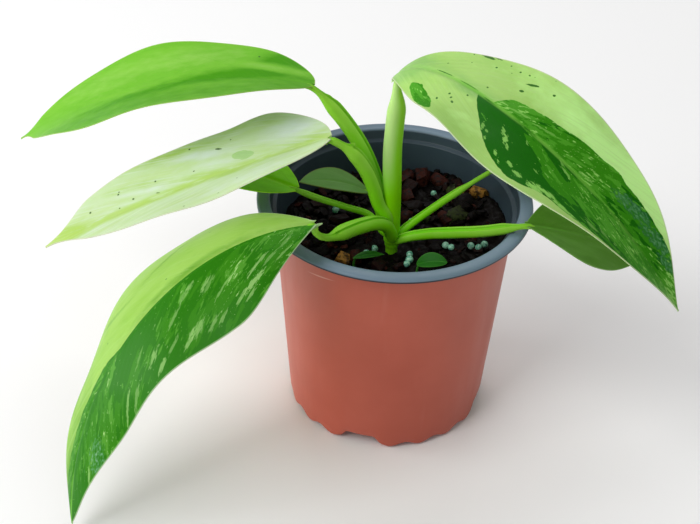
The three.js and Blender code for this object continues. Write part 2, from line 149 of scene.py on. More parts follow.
def finish_piece(bm: BMesh, name: str, nodes: Sequence[str], material: Material,
                 sharp_angle: float = 40.0) -> Piece:
    """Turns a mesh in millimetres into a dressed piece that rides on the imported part.

    Args:
        bm: The mesh, freed here.
        name: The piece's name.
        nodes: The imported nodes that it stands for.
        material: Its material.
        sharp_angle: Edges that turn by more than this stay crisp, in degrees.

    Returns:
        The finished piece.
    """
    piece = to_object(bm, name)
    piece.data.shade_smooth()
    piece.data.set_sharp_from_angle(angle=math.radians(sharp_angle))
    piece.data.materials.append(material)
    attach(piece, "root")
    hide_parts(*nodes)
    log.info("%s: %d faces, stands for %s", name, len(piece.data.polygons), ", ".join(nodes))
    return piece


def ring(centre: Vector, side: Vector, other: Vector, radius: float, count: int) -> list[Vector]:
    """Points of a circle round a centre, in the plane of two directions."""
    return [centre + side * (radius * math.cos(a)) + other * (radius * math.sin(a))
            for a in (TURN * k / count for k in range(count))]


def directions(route: Sequence[Vector]) -> list[Vector]:
    """Unit direction of a route at each of its points."""
    return [(ahead - behind).normalized()
            for behind, ahead in zip([route[0], *route], [*route[1:], route[-1]])]


def loft(bm: BMesh, rings: Sequence[Sequence[Vector]]) -> list[list[bmesh.types.BMVert]]:
    """Skins rings of equal length in order and closes both ends.

    Args:
        bm: The mesh that it goes in.
        rings: Points of each ring.

    Returns:
        The vertices of each ring.
    """
    count = len(rings[0])
    skinned = [list(bmesh.ops.create_circle(bm, segments=count, radius=1.0)["verts"])]
    for _ in rings[1:]:
        last = skinned[-1]
        front = [bm.edges.get((last[k], last[(k + 1) % count])) for k in range(count)]
        new = bmesh.ops.extrude_edge_only(bm, edges=front)["geom"]
        fresh = {v for v in new if isinstance(v, bmesh.types.BMVert)}
        skinned.append([next(e.other_vert(v) for e in v.link_edges if e.other_vert(v) in fresh)
                        for v in last])
    for vertices, points in zip(skinned, rings):
        for vertex, place in zip(vertices, points):
            vertex.co = place
    for end in (skinned[0], skinned[-1]):
        bmesh.ops.contextual_create(bm, geom=end)
    bmesh.ops.recalc_face_normals(bm, faces=bm.faces)
    return skinned


def smooth_route(points: Sequence[Vector], count: int, fine: int = 24) -> list[Vector]:
    """Points at equal steps along the centripetal Catmull-Rom curve through the given points.

    Args:
        points: The points that the curve passes through.
        count: How many points are returned.
        fine: Steps between two given points while the curve is measured.

    Returns:
        The points, from the first to the last given one.
    """
    ends = [2 * points[0] - points[1], *points, 2 * points[-1] - points[-2]]
    dense: list[Vector] = []
    for p0, p1, p2, p3 in zip(ends, ends[1:], ends[2:], ends[3:]):
        k1 = (p1 - p0).length ** 0.5
        k2 = k1 + (p2 - p1).length ** 0.5
        k3 = k2 + (p3 - p2).length ** 0.5
        for step in range(fine):
            k = lerp(k1, k2, step / fine)
            a = p0.lerp(p1, k / k1)
            b = p1.lerp(p2, (k - k1) / (k2 - k1))
            c = p2.lerp(p3, (k - k2) / (k3 - k2))
            dense.append(a.lerp(b, k / k2).lerp(b.lerp(c, (k - k1) / (k3 - k1)), (k - k1) / (k2 - k1)))
    dense.append(Vector(points[-1]))
    lengths = [0.0]
    for a, b in zip(dense, dense[1:]):
        lengths.append(lengths[-1] + (b - a).length)
    route = []
    k = 0
    for step in range(count):
        goal = lengths[-1] * step / (count - 1)
        while k < len(dense) - 2 and lengths[k + 1] < goal:
            k += 1
        route.append(dense[k].lerp(dense[k + 1], (goal - lengths[k]) / (lengths[k + 1] - lengths[k])))
    return route


# ---------------------------------------------------------------- finishes


class Paint:
    """A material while its nodes are laid out."""

    def __init__(self, name: str) -> None:
        """Starts the material of that name with no nodes."""
        self.material = bpy.data.materials.new(name)
        self.material.use_nodes = True
        self.tree = self.material.node_tree
        self.tree.nodes.clear()

    def add(self, kind: str, sockets: dict | Sequence = (), out: int | str = 0, **settings) -> Socket | None:
        """Adds a shader node with its settings and its links.

        Args:
            kind: The node's type.
            sockets: Values of its inputs, or outputs that are linked to them, in order or by name.
            out: Which of its outputs is wanted.
            settings: Properties of the node.

        Returns:
            That output, or None for a node that has none.
        """
        node = self.tree.nodes.new(kind)
        for name, value in settings.items():
            setattr(node, name, value)
        for key, value in sockets.items() if isinstance(sockets, dict) else enumerate(sockets):
            if isinstance(value, bpy.types.NodeSocket):
                self.tree.links.new(value, node.inputs[key])
            else:
                node.inputs[key].default_value = value
        return node.outputs[out] if node.outputs else None

    def layered(self, ground: Socket | str, *layers: tuple[Socket, Socket | str]) -> Socket:
        """Lays colours over a ground colour, each through its own mask.

        Args:
            ground: The lowest colour, as a socket or an sRGB hex value.
            layers: (mask, colour) pairs from the bottom up.

        Returns:
            The colour that shows.
        """
        for mask, colour in layers:
            under, over = (linear(c) if isinstance(c, str) else c for c in (ground, colour))
            ground = self.add("ShaderNodeMix", {0: mask, 6: under, 7: over}, 2, data_type="RGBA")
        return ground

    def grain(self, place: Socket, size: Pair, detail: float) -> Socket:
        """Noise in millimetres, whose grains have that size along the place's first two directions."""
        scaled = self.add(MAPPING, {"Vector": place, "Scale": (1 / size[0], 1 / size[1], 1.0)})
        return self.add(NOISE, {"Vector": scaled, "Scale": 1.0, "Detail": detail})

    def grain_mask(self, place: Socket, size: Pair, low: float, high: float, detail: float,
                   share: float = 1.0) -> Socket:
        """A mask of such grains, 0 where the noise is below low and share where it is above high."""
        return self.add(RANGE, (self.grain(place, size, detail), low, high, 0.0, share), **SMOOTH)

    def surface(self, sockets: dict) -> Material:
        """Gives the material a surface with those inputs, and returns it."""
        self.add("ShaderNodeOutputMaterial", (self.add("ShaderNodeBsdfPrincipled", sockets),))
        return self.material


@dataclass(frozen=True)
class LeafSkin:
    """Living leaf tissue under a waxy cuticle: a soft satin shine over colour that comes from inside."""

    name: str
    ground: str  # main tissue
    deep: str  # its darker green: the tissue's own tint in places, painted shade in others, where a blade has some
    bright: str  # its palest green, laid where "deep" is below 0: mostly a painted highlight
    cloud: str  # broad soft patches in it
    streak: str  # fine lines along the side veins; on the cream leaf, painted highlights along them
    midrib: str
    margin: str
    underside: str
    dark: str = "#1e5c08"  # sectors that kept their chlorophyll
    dark_mid: str = "#387c18"
    dark_soft: str = "#58963c"
    fleck: str = "#8cc05c"  # pale flecks inside the dark sectors
    mark: str = "#3c6c28"  # small dark marks
    wax: str = "#6c9c8c"  # bluish bloom, on some blades a painted reflection of the light
    wax_shade: str = "#145028"  # the dark tissue under it
    midrib_half: float = 0.9
    cloud_size: Pair = (7.0, 30.0)
    cloud_strength: float = 0.7
    streak_strength: float = 0.3
    speck_share: float = 0.1  # share of cells that hold a dark speck
    roughness: float = 0.38
    specular: float = 0.08

    def material(self, blade: "Blade") -> Material:
        """The node material for one blade."""
        return LeafPaint(self, blade).laid()


class LeafPaint(Paint):
    """A leaf skin on one blade, drawn in the blade's own millimetres.

    "flat" holds the place across and along the blade. "vein" holds which side vein a place lies on,
    measured across the veins, and how far along the blade it is. "zone" tells how far a place lies
    inside the dark sectors.
    """

    MARK_ROUGH = 0.9  # unevenness of a mark's edge, as a share of its size
    FLECK_ROUGH = 3.4
    VEIN_SPACING = 1.3  # between the finest side veins

    def __init__(self, skin: LeafSkin, blade: "Blade") -> None:
        """Starts the material and reads what the blade's mesh carries."""
        super().__init__(f"{skin.name} {blade.letter}")
        self.skin = skin
        self.blade = blade
        self.flat, self.vein = (self.add(ATTRIBUTE, out="Vector", attribute_name=name)
                                for name in ("flat", "vein"))
        self.guides = {name: self.add(ATTRIBUTE, out="Fac", attribute_name=name) for name in GUIDES}
        self.from_midrib = self.add(MATH, (self.add(SEPARATE, (self.flat,)),), operation="ABSOLUTE")

    def laid(self) -> Material:
        """Lays dark sectors, marks, midrib and margin over the pale tissue.

        Returns:
            The material.
        """
        skin, blade, guides = self.skin, self.blade, self.guides
        ragged = self.grain(self.flat, (2.4, 3.6), 4.0)
        shift = self.add(RANGE, (ragged, 0.0, 1.0, -blade.ragged, blade.ragged))
        edge = self.add(MATH, (guides["zone"], shift), operation="ADD")
        inside = self.add(RANGE, (edge, -0.1, 0.1), **SMOOTH)
        colour = self.layered(self._pale(), (inside, self._dark()))
        uneven = self.grain(self.flat, (0.8, 1.2), 3.0)
        for mark in blade.marks:
            colour = self.layered(colour, (self._mark(mark, uneven, self.MARK_ROUGH), skin.mark))
        rib = self.add(RANGE, (self.from_midrib, skin.midrib_half, 0.2 * skin.midrib_half), **SMOOTH)
        for share in (self.grain_mask(self.flat, (2.5, 13.0), 0.3, 0.52, 3.0), guides["rib"]):
            rib = self.add(MATH, (rib, share), operation="MULTIPLY")
        rim = self.add(RANGE, (guides["margin"], 0.5, 0.1, 0.0, 0.7), **SMOOTH)
        beneath = self.add(MATH, (guides["under"], 0.6), operation="MULTIPLY")
        colour = self.layered(colour, (rib, skin.midrib), (rim, skin.margin), (beneath, skin.underside))
        shine = self.grain(self.flat, (9.0, 9.0), 2.0)
        low, high = skin.roughness - 0.05, skin.roughness + 0.08
        return self.surface({
            "Base Color": colour, "Roughness": self.add(RANGE, (shine, 0.3, 0.7, low, high)), "IOR": 1.45,
            "Specular IOR Level": skin.specular, "Subsurface Weight": 0.1,
            "Subsurface Radius": (0.5, 1.0, 0.25), "Subsurface Scale": 0.8 * MM, "Normal": self._relief()})

    def _pale(self) -> Socket:
        """Tissue without chlorophyll, with clouds, streaks and specks: its own darker tint and painted shade
        where "deep" is high, a painted highlight where it is below 0.
        """
        skin = self.skin
        clouds = self.grain_mask(self.flat, skin.cloud_size, 0.42, 0.66, 2.0, skin.cloud_strength)
        streaks = self.grain_mask(self.vein, (1.0, 22.0), 0.5, 0.72, 3.0, skin.streak_strength)
        mottle = self.grain(self.flat, (3.0, 7.0), 3.0)
        # High "deep" lays the tissue's own darker tint and painted shade; below 0 it lays a painted
        # highlight.
        spread = self.add(MATH, (mottle, 0.9, self.guides["deep"]), operation="MULTIPLY_ADD")
        tint_and_shade_mask = self.add(RANGE, (spread, 0.5, 1.4))
        paler = self.add(RANGE, (spread, 0.4, -0.5))
        spaced = self.add(MAPPING, {"Vector": self.flat, "Scale": (1 / 3.4, 1 / 4.6, 0.0)})
        cells = self.add("ShaderNodeTexVoronoi", {"Vector": spaced, "Scale": 1.0}).node
        dot = self.add(RANGE, (cells.outputs["Distance"], 0.11, 0.07))
        tint = self.add("ShaderNodeSeparateColor", (cells.outputs["Color"],))
        chosen = self.add(MATH, (tint, skin.speck_share), operation="LESS_THAN")
        specks = self.add(MATH, (dot, chosen), operation="MULTIPLY")
        return self.layered(skin.ground, (clouds, skin.cloud), (tint_and_shade_mask, skin.deep), (paler, skin.bright),
                            (streaks, skin.streak), (specks, skin.mark))

    def _dark(self) -> Socket:
        """Dark sectors: four tones along the side veins, lighter where "light" is high, and flecks."""
        skin = self.skin
        colour: Socket | str = skin.dark
        ladder = (
            (self.vein, (3.4, 13.0), 3.0, 0.5, 0.28, skin.dark_mid),
            (self.vein, (2.0, 7.0), 5.0, 0.6, 0.16, skin.dark_soft),
            (self.vein, (0.8, 3.2), 5.0, 0.69, 0.1, skin.fleck),
            (self.flat, (0.6, 0.9), 5.0, 0.68, 0.03, skin.fleck),
        )
        for place, size, detail, low, lift, tone in ladder:
            grains = self.grain(place, size, detail)
            lifted = self.add(MATH, (self.guides["light"], lift, grains), operation="MULTIPLY_ADD")
            colour = self.layered(colour, (self.add(RANGE, (lifted, low, low + 0.03), **SMOOTH), tone))
        torn = self.grain(self.vein, (0.5, 2.0), 4.0)
        for fleck in self.blade.flecks:
            colour = self.layered(colour, (self._mark(fleck, torn, self.FLECK_ROUGH), skin.fleck))
        speckle = self.grain(self.flat, (0.8, 1.6), 5.0)
        # The bluish bloom over the dark tissue; where a blade's patches stand for a sheen it is a painted
        # reflection.
        bloom = self.add(MATH, (self.guides["wax"], 0.5, speckle), operation="MULTIPLY_ADD")
        shaded = self.add(RANGE, (bloom, 0.75, 1.0, 0.0, 0.75), **SMOOTH)
        wax_and_sheen_mask = self.add(RANGE, (bloom, 0.88, 1.24, 0.0, 0.6), **SMOOTH)
        return self.layered(colour, (shaded, skin.wax_shade), (wax_and_sheen_mask, skin.wax))

    def _mark(self, mark: "Patch", uneven: Socket, rough: float) -> Socket:
        """The mask of one small mark, whose edge is as uneven as rough says."""
        across = self.blade.across(mark)
        turn = self.blade.lean(mark) * (1 if across > 0 else -1)
        place = (-across, -mark.along * self.blade.length, 0.0)
        centred = self.add(MAPPING, {"Vector": self.flat, "Location": place})
        turned = self.add("ShaderNodeVectorRotate", {"Vector": centred, "Angle": turn},
                          rotation_type="Z_AXIS")
        scale = (1 / mark.half_across, 1 / mark.half_along, 0.0)
        sized = self.add(VECTOR_MATH, (turned, scale), operation="MULTIPLY")
        reach = self.add(VECTOR_MATH, (sized,), "Value", operation="LENGTH")
        edge = self.add(MATH, (uneven, rough, reach), operation="MULTIPLY_ADD")
        middle = 0.5 * rough  # what the noise adds on average
        return self.add(RANGE, (edge, 1.05 + middle, 0.85 + middle, 0.0, mark.strength))

    def _relief(self) -> Socket:
        """Fine side veins and cell grain, too slight for the mesh. Cells of 0.05 mm are drawn at 0.5 mm."""
        across = self.add(SEPARATE, (self.vein,))
        turns = self.add(MATH, (across, TURN / self.VEIN_SPACING), operation="MULTIPLY")
        wave = self.add(MATH, (turns,), operation="SINE")
        faded = self.add(RANGE, (self.from_midrib, 1.0, 6.0))
        veins = self.add(MATH, (wave, faded), operation="MULTIPLY")
        cells = self.grain(self.flat, (0.5, 0.5), 2.0)
        height = self.add(MATH, (cells, 0.8, veins), operation="MULTIPLY_ADD")
        return self.add(BUMP, {"Height": height, "Strength": 0.2, "Distance": 0.02 * MM})


@dataclass(frozen=True)
class StalkSkin:
    """Smooth green stalk with a thin wax bloom: paler towards the blade and on the sheath's thin wings."""

    name: str
    lower: str
    upper: str
    # Colour in the channel; where it is darker than the stalk, that is painted shade in the groove.
    channel: str
    wing: str
    pale_lit_flank: str = ""  # colour of a pale stripe down one flank, where the stalk has one: paler tissue with a painted highlight down the lit side
    roughness: float = 0.34
    fibre: Pair = (0.9, 14.0)  # width and length of its fibres
    patch: float = 9.0  # width of its soft patches

    def material(self) -> Material:
        """Lays out the nodes.

        Returns:
            The material.
        """
        paint = Paint(self.name)
        along, groove, wing, side = (paint.add(ATTRIBUTE, out="Fac", attribute_name=name)
                                     for name in STALK_GUIDES)
        place = paint.add(PLACE, out="Object")
        width, length = self.fibre
        fibre_scale = (1 / (width * MM), 1 / (width * MM), 1 / (length * MM))
        drawn_out = paint.add(MAPPING, {"Vector": place, "Scale": fibre_scale})
        fibres = paint.add(NOISE, {"Vector": drawn_out, "Scale": 1.0, "Detail": 3.0})
        patches = paint.add(NOISE, {"Vector": place, "Scale": 1 / (self.patch * MM), "Detail": 2.0})
        rising = paint.add(RANGE, (along, 0.25, 0.95), **SMOOTH)
        lines = paint.add(RANGE, (fibres, 0.5, 0.8, 0.0, 0.3))
        soft = paint.add(RANGE, (patches, 0.48, 0.72, 0.0, 0.25))
        layers = [(rising, self.upper), (lines, self.lower), (soft, self.wing), (groove, self.channel),
                  (wing, self.wing)]
        # A pale stripe down one flank: paler tissue with a painted highlight down the lit side.
        if self.pale_lit_flank:
            flank = paint.add(RANGE, (side, -0.1, 0.9), **SMOOTH)
            above = paint.add(RANGE, (along, 0.3, 0.6), **SMOOTH)
            layers.append((paint.add(MATH, (flank, above), operation="MULTIPLY"), self.pale_lit_flank))
        return paint.surface({
            "Base Color": paint.layered(self.lower, *layers), "Roughness": self.roughness, "IOR": 1.45,
            "Specular IOR Level": 0.07, "Subsurface Weight": 0.2, "Subsurface Radius": (0.7, 1.0, 0.25),
            "Subsurface Scale": 2.0 * MM,
            "Normal": paint.add(BUMP, {"Height": fibres, "Strength": 0.25, "Distance": 0.05 * MM})})


@dataclass(frozen=True)
class PotSheet:
    """Thermoformed polypropylene sheet: even colour, a satin skin, and dust rubbed into it by handling. Where
    asked, a lighter rim top and a shadow line under the rim are painted in.
    """

    name: str
    base: str
    shade: str
    dust: str
    rim: str  # colour outside the rim's inner edge; on the lining it is lighter than the inside, painted light on the flat top against painted shade inside the pot
    rim_radius: float = 49.6
    roughness: float = 0.42
    dust_share: float = 0.3
    specular: float = 0.25
    rim_shadow_line: tuple[str, float] | None = None  # colour of a painted shadow line along the rim's turned-down edge, and its top in mm
    scuff: tuple[Triple, Triple, Triple] | None = None  # its place, half sizes and turns in degrees
    blotch: float = 28.0  # width of the faint unevenness of its colour
    drag: Pair = (7.0, 60.0)  # width and height of the marks of drawing and handling
    pore: float = 0.5  # grain of the mould

    def material(self) -> Material:
        """Lays out the nodes.

        Returns:
            The material.
        """
        paint = Paint(self.name)
        place = paint.add(PLACE, out="Object")
        clouds = paint.add(NOISE, {"Vector": place, "Scale": 1 / (self.blotch * MM), "Detail": 3.0})
        width, height = self.drag
        drag_scale = (1 / (width * MM), 1 / (width * MM), 1 / (height * MM))
        dragged = paint.add(MAPPING, {"Vector": place, "Scale": drag_scale})
        drawn = paint.add(NOISE, {"Vector": dragged, "Scale": 1.0, "Detail": 4.0})
        pores = paint.add(NOISE, {"Vector": place, "Scale": 1 / (self.pore * MM), "Detail": 3.0})
        uneven = paint.add(RANGE, (clouds, 0.35, 0.7, 0.0, 0.6))
        rubbed = paint.add(RANGE, (drawn, 0.62, 0.82, 0.0, self.dust_share))
        sideways = paint.add(VECTOR_MATH, (place, (1.0, 1.0, 0.0)), operation="MULTIPLY")
        radius = paint.add(VECTOR_MATH, (sideways,), "Value", operation="LENGTH")
        # Outside the rim's inner edge the rim colour shows; on the lining it paints light on the top and
        # leaves the inside in painted shade.
        outside = paint.add(RANGE, (radius, (self.rim_radius - 0.2) * MM, (self.rim_radius + 0.3) * MM))
        layers = [(uneven, self.shade), (outside, self.rim), (rubbed, self.dust)]
        # A painted shadow line along the bottom of the rim's turned-down edge.
        if self.rim_shadow_line:
            code, top = self.rim_shadow_line
            level = paint.add(SEPARATE, (place,), "Z")
            below = paint.add(RANGE, (level, (top + 0.25) * MM, (top - 0.25) * MM))
            layers.append((paint.add(MATH, (below, outside), operation="MULTIPLY"), code))
        if self.scuff:
            layers.append((self._scratch(paint, place), self.dust))
        low, high = self.roughness - 0.04, self.roughness + 0.1
        return paint.surface({
            "Base Color": paint.layered(self.base, *layers),
            "Roughness": paint.add(RANGE, (drawn, 0.3, 0.8, low, high)), "IOR": 1.49,
            "Specular IOR Level": self.specular,
            "Normal": paint.add(BUMP, {"Height": pores, "Strength": 0.2, "Distance": 0.04 * MM})})

    def _scratch(self, paint: Paint, place: Socket) -> Socket:
        """The mask of a fine scratch in the skin."""
        where, half, turn = self.scuff
        local = paint.add(MAPPING, {
            "Vector": place, "Location": [v * MM for v in where], "Scale": [v * MM for v in half],
            "Rotation": [math.radians(v) for v in turn]}, vector_type="TEXTURE")
        reach = paint.add(VECTOR_MATH, (local,), "Value", operation="LENGTH")
        return paint.add(RANGE, (reach, 1.0, 0.3, 0.0, 0.8))


@dataclass(frozen=True)
class BarkMix:
    """Moist bark and peat: nearly black between the pieces, red-brown and ochre where bark shows."""

    name: str
    tones: tuple[str, ...]  # from the most common piece to the rarest
    fibre: str
    roughness: float = 0.75
    fibre_size: Pair = (4.0, 0.5)  # length and width
    crumb: float = 1.6

    def material(self) -> Material:
        """Lays out the nodes. "tone" is each piece's own random number.

        Returns:
            The material.
        """
        paint = Paint(self.name)
        tone = paint.add(ATTRIBUTE, out="Fac", attribute_name="tone")
        place = paint.add(PLACE, out="Object")
        shades = paint.add("ShaderNodeValToRGB", {"Fac": tone})
        ramp = shades.node.color_ramp
        ramp.interpolation = "CONSTANT"
        while len(ramp.elements) < len(self.tones):
            ramp.elements.new(0.5)
        for k, code in enumerate(self.tones):
            ramp.elements[k].position = k / len(self.tones)
            ramp.elements[k].color = linear(code)
        length, width = self.fibre_size
        fibre_scale = (1 / (length * MM), 1 / (width * MM), 1 / (width * MM))
        turned = paint.add(MAPPING, {"Vector": place, "Scale": fibre_scale, "Rotation": (0.4, 0.2, 0.7)})
        fibres = paint.add(NOISE, {"Vector": turned, "Scale": 1.0, "Detail": 5.0})
        crumbs = paint.add(NOISE, {"Vector": place, "Scale": 1 / (self.crumb * MM), "Detail": 6.0})
        shown = paint.add(RANGE, (fibres, 0.52, 0.75, 0.0, 0.5))
        damp = paint.add(RANGE, (crumbs, 0.47, 0.62, 0.0, 0.85))
        return paint.surface({
            "Base Color": paint.layered(shades, (shown, self.fibre), (damp, self.tones[0])),
            "Roughness": paint.add(RANGE, (crumbs, 0.4, 0.65, self.roughness, 0.6 * self.roughness)),
            "Specular IOR Level": 0.1,
            "Normal": paint.add(BUMP, {"Height": crumbs, "Strength": 0.8, "Distance": 0.5 * MM})})


@dataclass(frozen=True)
class PrillCoat:
    """Resin-coated fertiliser prills: small pale sea-green beads with a wet shine."""

    name: str
    base: str
    stain: str
    blot: float = 1.5  # width of the stains

    def material(self) -> Material:
        """Lays out the nodes.

        Returns:
            The material.
        """
        paint = Paint(self.name)
        place = paint.add(PLACE, out="Object")
        grime = paint.add(NOISE, {"Vector": place, "Scale": 1 / (self.blot * MM), "Detail": 3.0})
        return paint.surface({
            "Base Color": paint.layered(self.base, (paint.add(RANGE, (grime, 0.45, 0.62)), self.stain)),
            "Roughness": 0.25, "Subsurface Weight": 0.3, "Subsurface Radius": (0.6, 1.0, 0.9),
            "Subsurface Scale": 0.8 * MM})


# ---------------------------------------------------------------- blades


@dataclass(frozen=True)
class Patch:
    """A patch or mark on a blade: its place as shares of length and half width, and half sizes in mm."""

    along: float
    across: float
    half_along: float
    half_across: float
    strength: float = 1.0
    turn: float | None = None  # degrees from the midrib towards the margin; None follows the side veins


def patches(*rows: tuple[float, ...]) -> tuple[Patch, ...]:
    """Patches from rows of their numbers, in the order of the fields."""
    return tuple(Patch(*row) for row in rows)


@dataclass
class Blade:
    """A leaf blade, as the part's own solid has it, with a groove, veins and a thin margin.

    A point on it is given by t, its share of the length, and u, its share of the half width, from -1 at
    the right margin to 1 at the left.
    """

    WAVES: ClassVar[float] = 2.5  # waves along each margin
    LOBE_SHARE: ClassVar[float] = 0.09  # of the length, that the base's lobes take up
    LUMP: ClassVar[Pair] = (0.35, 19.0)  # height and length of the soft unevenness between the veins
    EVEN: ClassVar[float] = 0.45  # evenness of the mesh's columns, which crowd towards the midrib
    OUTSIDE: ClassVar[float] = -9.0  # depth inside a patch of any point on the other half of the blade

    letter: str
    slot: Slot
    base: Triple
    length: float
    heading: float  # of the midrib at the base, from +X towards +Y
    climb: float  # of the midrib at the base
    droop: float  # by how much the tip's direction is lower
    left: float  # greatest half widths
    right: float
    widest: float  # share of the length where it is widest
    shoulder: float  # less than 1 fills out the base
    taper: float  # less than 1 fills out the tip
    taper_right: float | None = None  # of the right side, where it differs
    sweep: float = 0.0  # turn of the heading from base to tip
    late: float = 1.0  # more than 1 puts the droop off towards the tip
    roll: float = 0.0  # about the midrib, at the base
    twist: float = 0.0  # by how much the roll is more at the tip
    fold: Pair = (10.0, 10.0)  # rise of each half from the midrib, in degrees, at the base and the tip
    curl: float = 0.0  # rise of the margin as a share of the half width
    wave: float = 0.0  # height of the margin's waves
    phase: Pair = (0.0, 0.0)  # of the left and right margin's waves, in turns
    lobes: Pair = (1.5, 1.5)  # how far the base's left and right lobes reach back past the stalk
    lobe_lift: float = 0.0  # how far they rise for each millimetre that they reach back
    rows: int = 170  # of the mesh, along the blade
    columns: int = 52
    rib_half: Pair = (1.5, 0.5)  # half width of the midrib at the base and the tip
    rib_height: float = 1.5  # of the ridge under the base
    groove: float = 0.45  # depth of the channel over the midrib
    crease: float = 1.6  # radius of the fold at the midrib
    thickness: Pair = (0.62, 0.3)  # beside the midrib and at the margin
    vein_relief: float = 0.04
    vein_spacing: float = 3.0
    vein_turn: Pair = (40.0, 12.0)  # degrees between the side veins and the midrib, at the base and the tip
    vein_bend: float = 0.8  # how much closer to the midrib's direction they run at the margin
    drip: float = 0.0  # share of the length that draws out into a narrow tip
    ragged: float = 1.2  # unevenness of the dark sectors' edge
    dark_left: tuple[Pair, ...] = ((0.0, -1.0),)  # reach of the dark sector along the blade
    dark_right: tuple[Pair, ...] = ((0.0, -1.0),)
    tone_left: tuple[Pair, ...] = ((0.0, 0.0),)  # how light the dark sector is along the blade
    tone_right: tuple[Pair, ...] = ((0.0, 0.0),)
    rib_shows: tuple[Pair, ...] = ((0.0, 1.0),)  # how strongly the midrib's colour shows along the blade
    islands: tuple[Patch, ...] = ()  # dark patches in the pale tissue
    patches: tuple[Patch, ...] = ()  # pale patches in the dark tissue
    tints_and_shading: tuple[Patch, ...] = ()  # darker green patches in the pale tissue, the tissue's own tint in places and painted shade in others; paler below 0, mostly a painted highlight
    waxes_and_sheens: tuple[Patch, ...] = ()  # patches with a bluish bloom; on some blades a painted reflection of the light
    marks: tuple[Patch, ...] = ()  # small dark marks
    flecks: tuple[Patch, ...] = ()  # crisp pale flecks in the dark sectors
    dents: tuple[Patch, ...] = ()  # soft rises, whose strength is their height in mm

    def axes(self, t: float) -> tuple[Vector, Vector, Vector]:
        """Tangent, left and upward directions of the midrib at a share of its length."""
        heading = math.radians(self.heading + self.sweep * t)
        pitch = math.radians(self.climb - self.droop * t**self.late)
        roll = math.radians(self.roll + self.twist * t)
        tangent = Vector((math.cos(heading) * math.cos(pitch), math.sin(heading) * math.cos(pitch),
                          math.sin(pitch)))
        level = Vector((-math.sin(heading), math.cos(heading), 0.0))
        square = tangent.cross(level)
        left = level * math.cos(roll) + square * math.sin(roll)
        up = square * math.cos(roll) - level * math.sin(roll)
        return tangent, left, up

    def spine(self) -> list[Vector]:
        """Points of the midrib at equal steps from base to tip."""
        finer = 2
        step = self.length / (self.rows * finer)
        point = Vector(self.base)
        points = [point.copy()]
        for k in range(self.rows * finer):
            point += self.axes((k + 0.5) / (self.rows * finer))[0] * step
            if (k + 1) % finer == 0:
                points.append(point.copy())
        return points

    def half_width(self, t: float, u: float) -> float:
        """Half width at a share of the length, on the left where u is above 0 and else on the right."""
        if t < self.widest:
            share = math.sin(math.pi / 2 * t / self.widest) ** self.shoulder
        else:
            taper = self.taper if u > 0 or not self.taper_right else self.taper_right
            share = max(0.0, math.cos(math.pi / 2 * (t - self.widest) / (1 - self.widest))) ** taper
        if self.drip:
            share *= lerp(1.0, 0.3, smoothstep(t, 1 - 2.2 * self.drip, 1.0))
        return max(lerp(*self.rib_half, t), (self.left if u > 0 else self.right) * share)

    @staticmethod
    def fullness(width: float) -> float:
        """1 where the blade is wide enough for its full waves and lumps, and less where it is narrow."""
        return min(1.0, width / 20)

    def across(self, patch: Patch) -> float:
        """A patch's distance from the midrib in millimetres, positive on the left."""
        return patch.across * self.half_width(patch.along, patch.across)

    def middle(self, t: float, u: float, centre: Vector, axes: tuple[Vector, Vector, Vector]) -> Vector:
        """A point of the blade's middle surface.

        Args:
            t: Share of the length.
            u: Share of the half width.
            centre: The midrib's point at t.
            axes: The midrib's directions at t.

        Returns:
            The point.
        """
        tangent, left, up = axes
        right = int(u <= 0)
        reach = abs(u)
        width = self.half_width(t, u)
        fold = math.radians(lerp(*self.fold, t))
        ripple = math.sin(TURN * (self.WAVES * t + self.phase[right])) * reach**2 * self.fullness(width)
        bent = math.hypot(reach * width, self.crease) - self.crease
        rise = math.sin(fold) * bent + self.curl * reach**2 * width + self.wave * ripple + self.dent(t, u)
        lobe = self.lobes[right] * reach**1.5 * max(0.0, 1 - t / self.LOBE_SHARE) ** 2
        sideways = u * math.cos(fold) * width
        return centre + left * sideways + up * (rise + lobe * self.lobe_lift) - tangent * lobe

    def vein_slopes(self) -> Pair:
        """How far the side veins run out for each millimetre along the midrib, at the base and the tip."""
        near, far = (math.tan(math.radians(turn)) for turn in self.vein_turn)
        return near, far

    def vein_place(self, t: float, u: float) -> float:
        """Which side vein a point lies on, in millimetres across the veins.

        A side vein leaves the midrib at vein_turn and bends until it runs more nearly along the margin.
        """
        near, far = self.vein_slopes()
        run_out = self.length * (near * t + (far - near) * t * t / 2)
        out = abs(u) * self.half_width(t, u)
        return out * (1 + self.vein_bend * out / (2 * max(self.left, self.right))) - run_out

    def lean(self, patch: Patch) -> float:
        """Angle between a patch and the midrib, in radians: its own, or that of the side veins there."""
        if patch.turn is not None:
            return math.radians(patch.turn)
        near, far = self.vein_slopes()
        bend = 1 + self.vein_bend * abs(self.across(patch)) / max(self.left, self.right)
        return math.atan2(lerp(near, far, patch.along), bend)

    def inside(self, patch: Patch, t: float, u: float) -> float:
        """How far inside a patch a point lies: 1 in its middle, 0 at its edge, less outside it."""
        if patch.turn is None and u * patch.across <= 0:
            return self.OUTSIDE
        side = 1 if patch.across > 0 else -1
        across = side * u * self.half_width(t, u) - abs(self.across(patch))
        along = (t - patch.along) * self.length
        turn = self.lean(patch)
        on = along * math.cos(turn) + across * math.sin(turn)
        off = along * math.sin(turn) - across * math.cos(turn)
        return 1 - math.hypot(on / patch.half_along, off / patch.half_across)

    def zone_depth(self, t: float, u: float) -> float:
        """How far a point lies inside the dark sectors, in millimetres, negative outside them."""
        width = self.half_width(t, u)
        reach = along_curve(self.dark_left if u > 0 else self.dark_right, t)
        depths = [self.inside(p, t, u) * min(p.half_along, p.half_across) for p in self.islands]
        return max([(reach - abs(u)) * width, *depths])

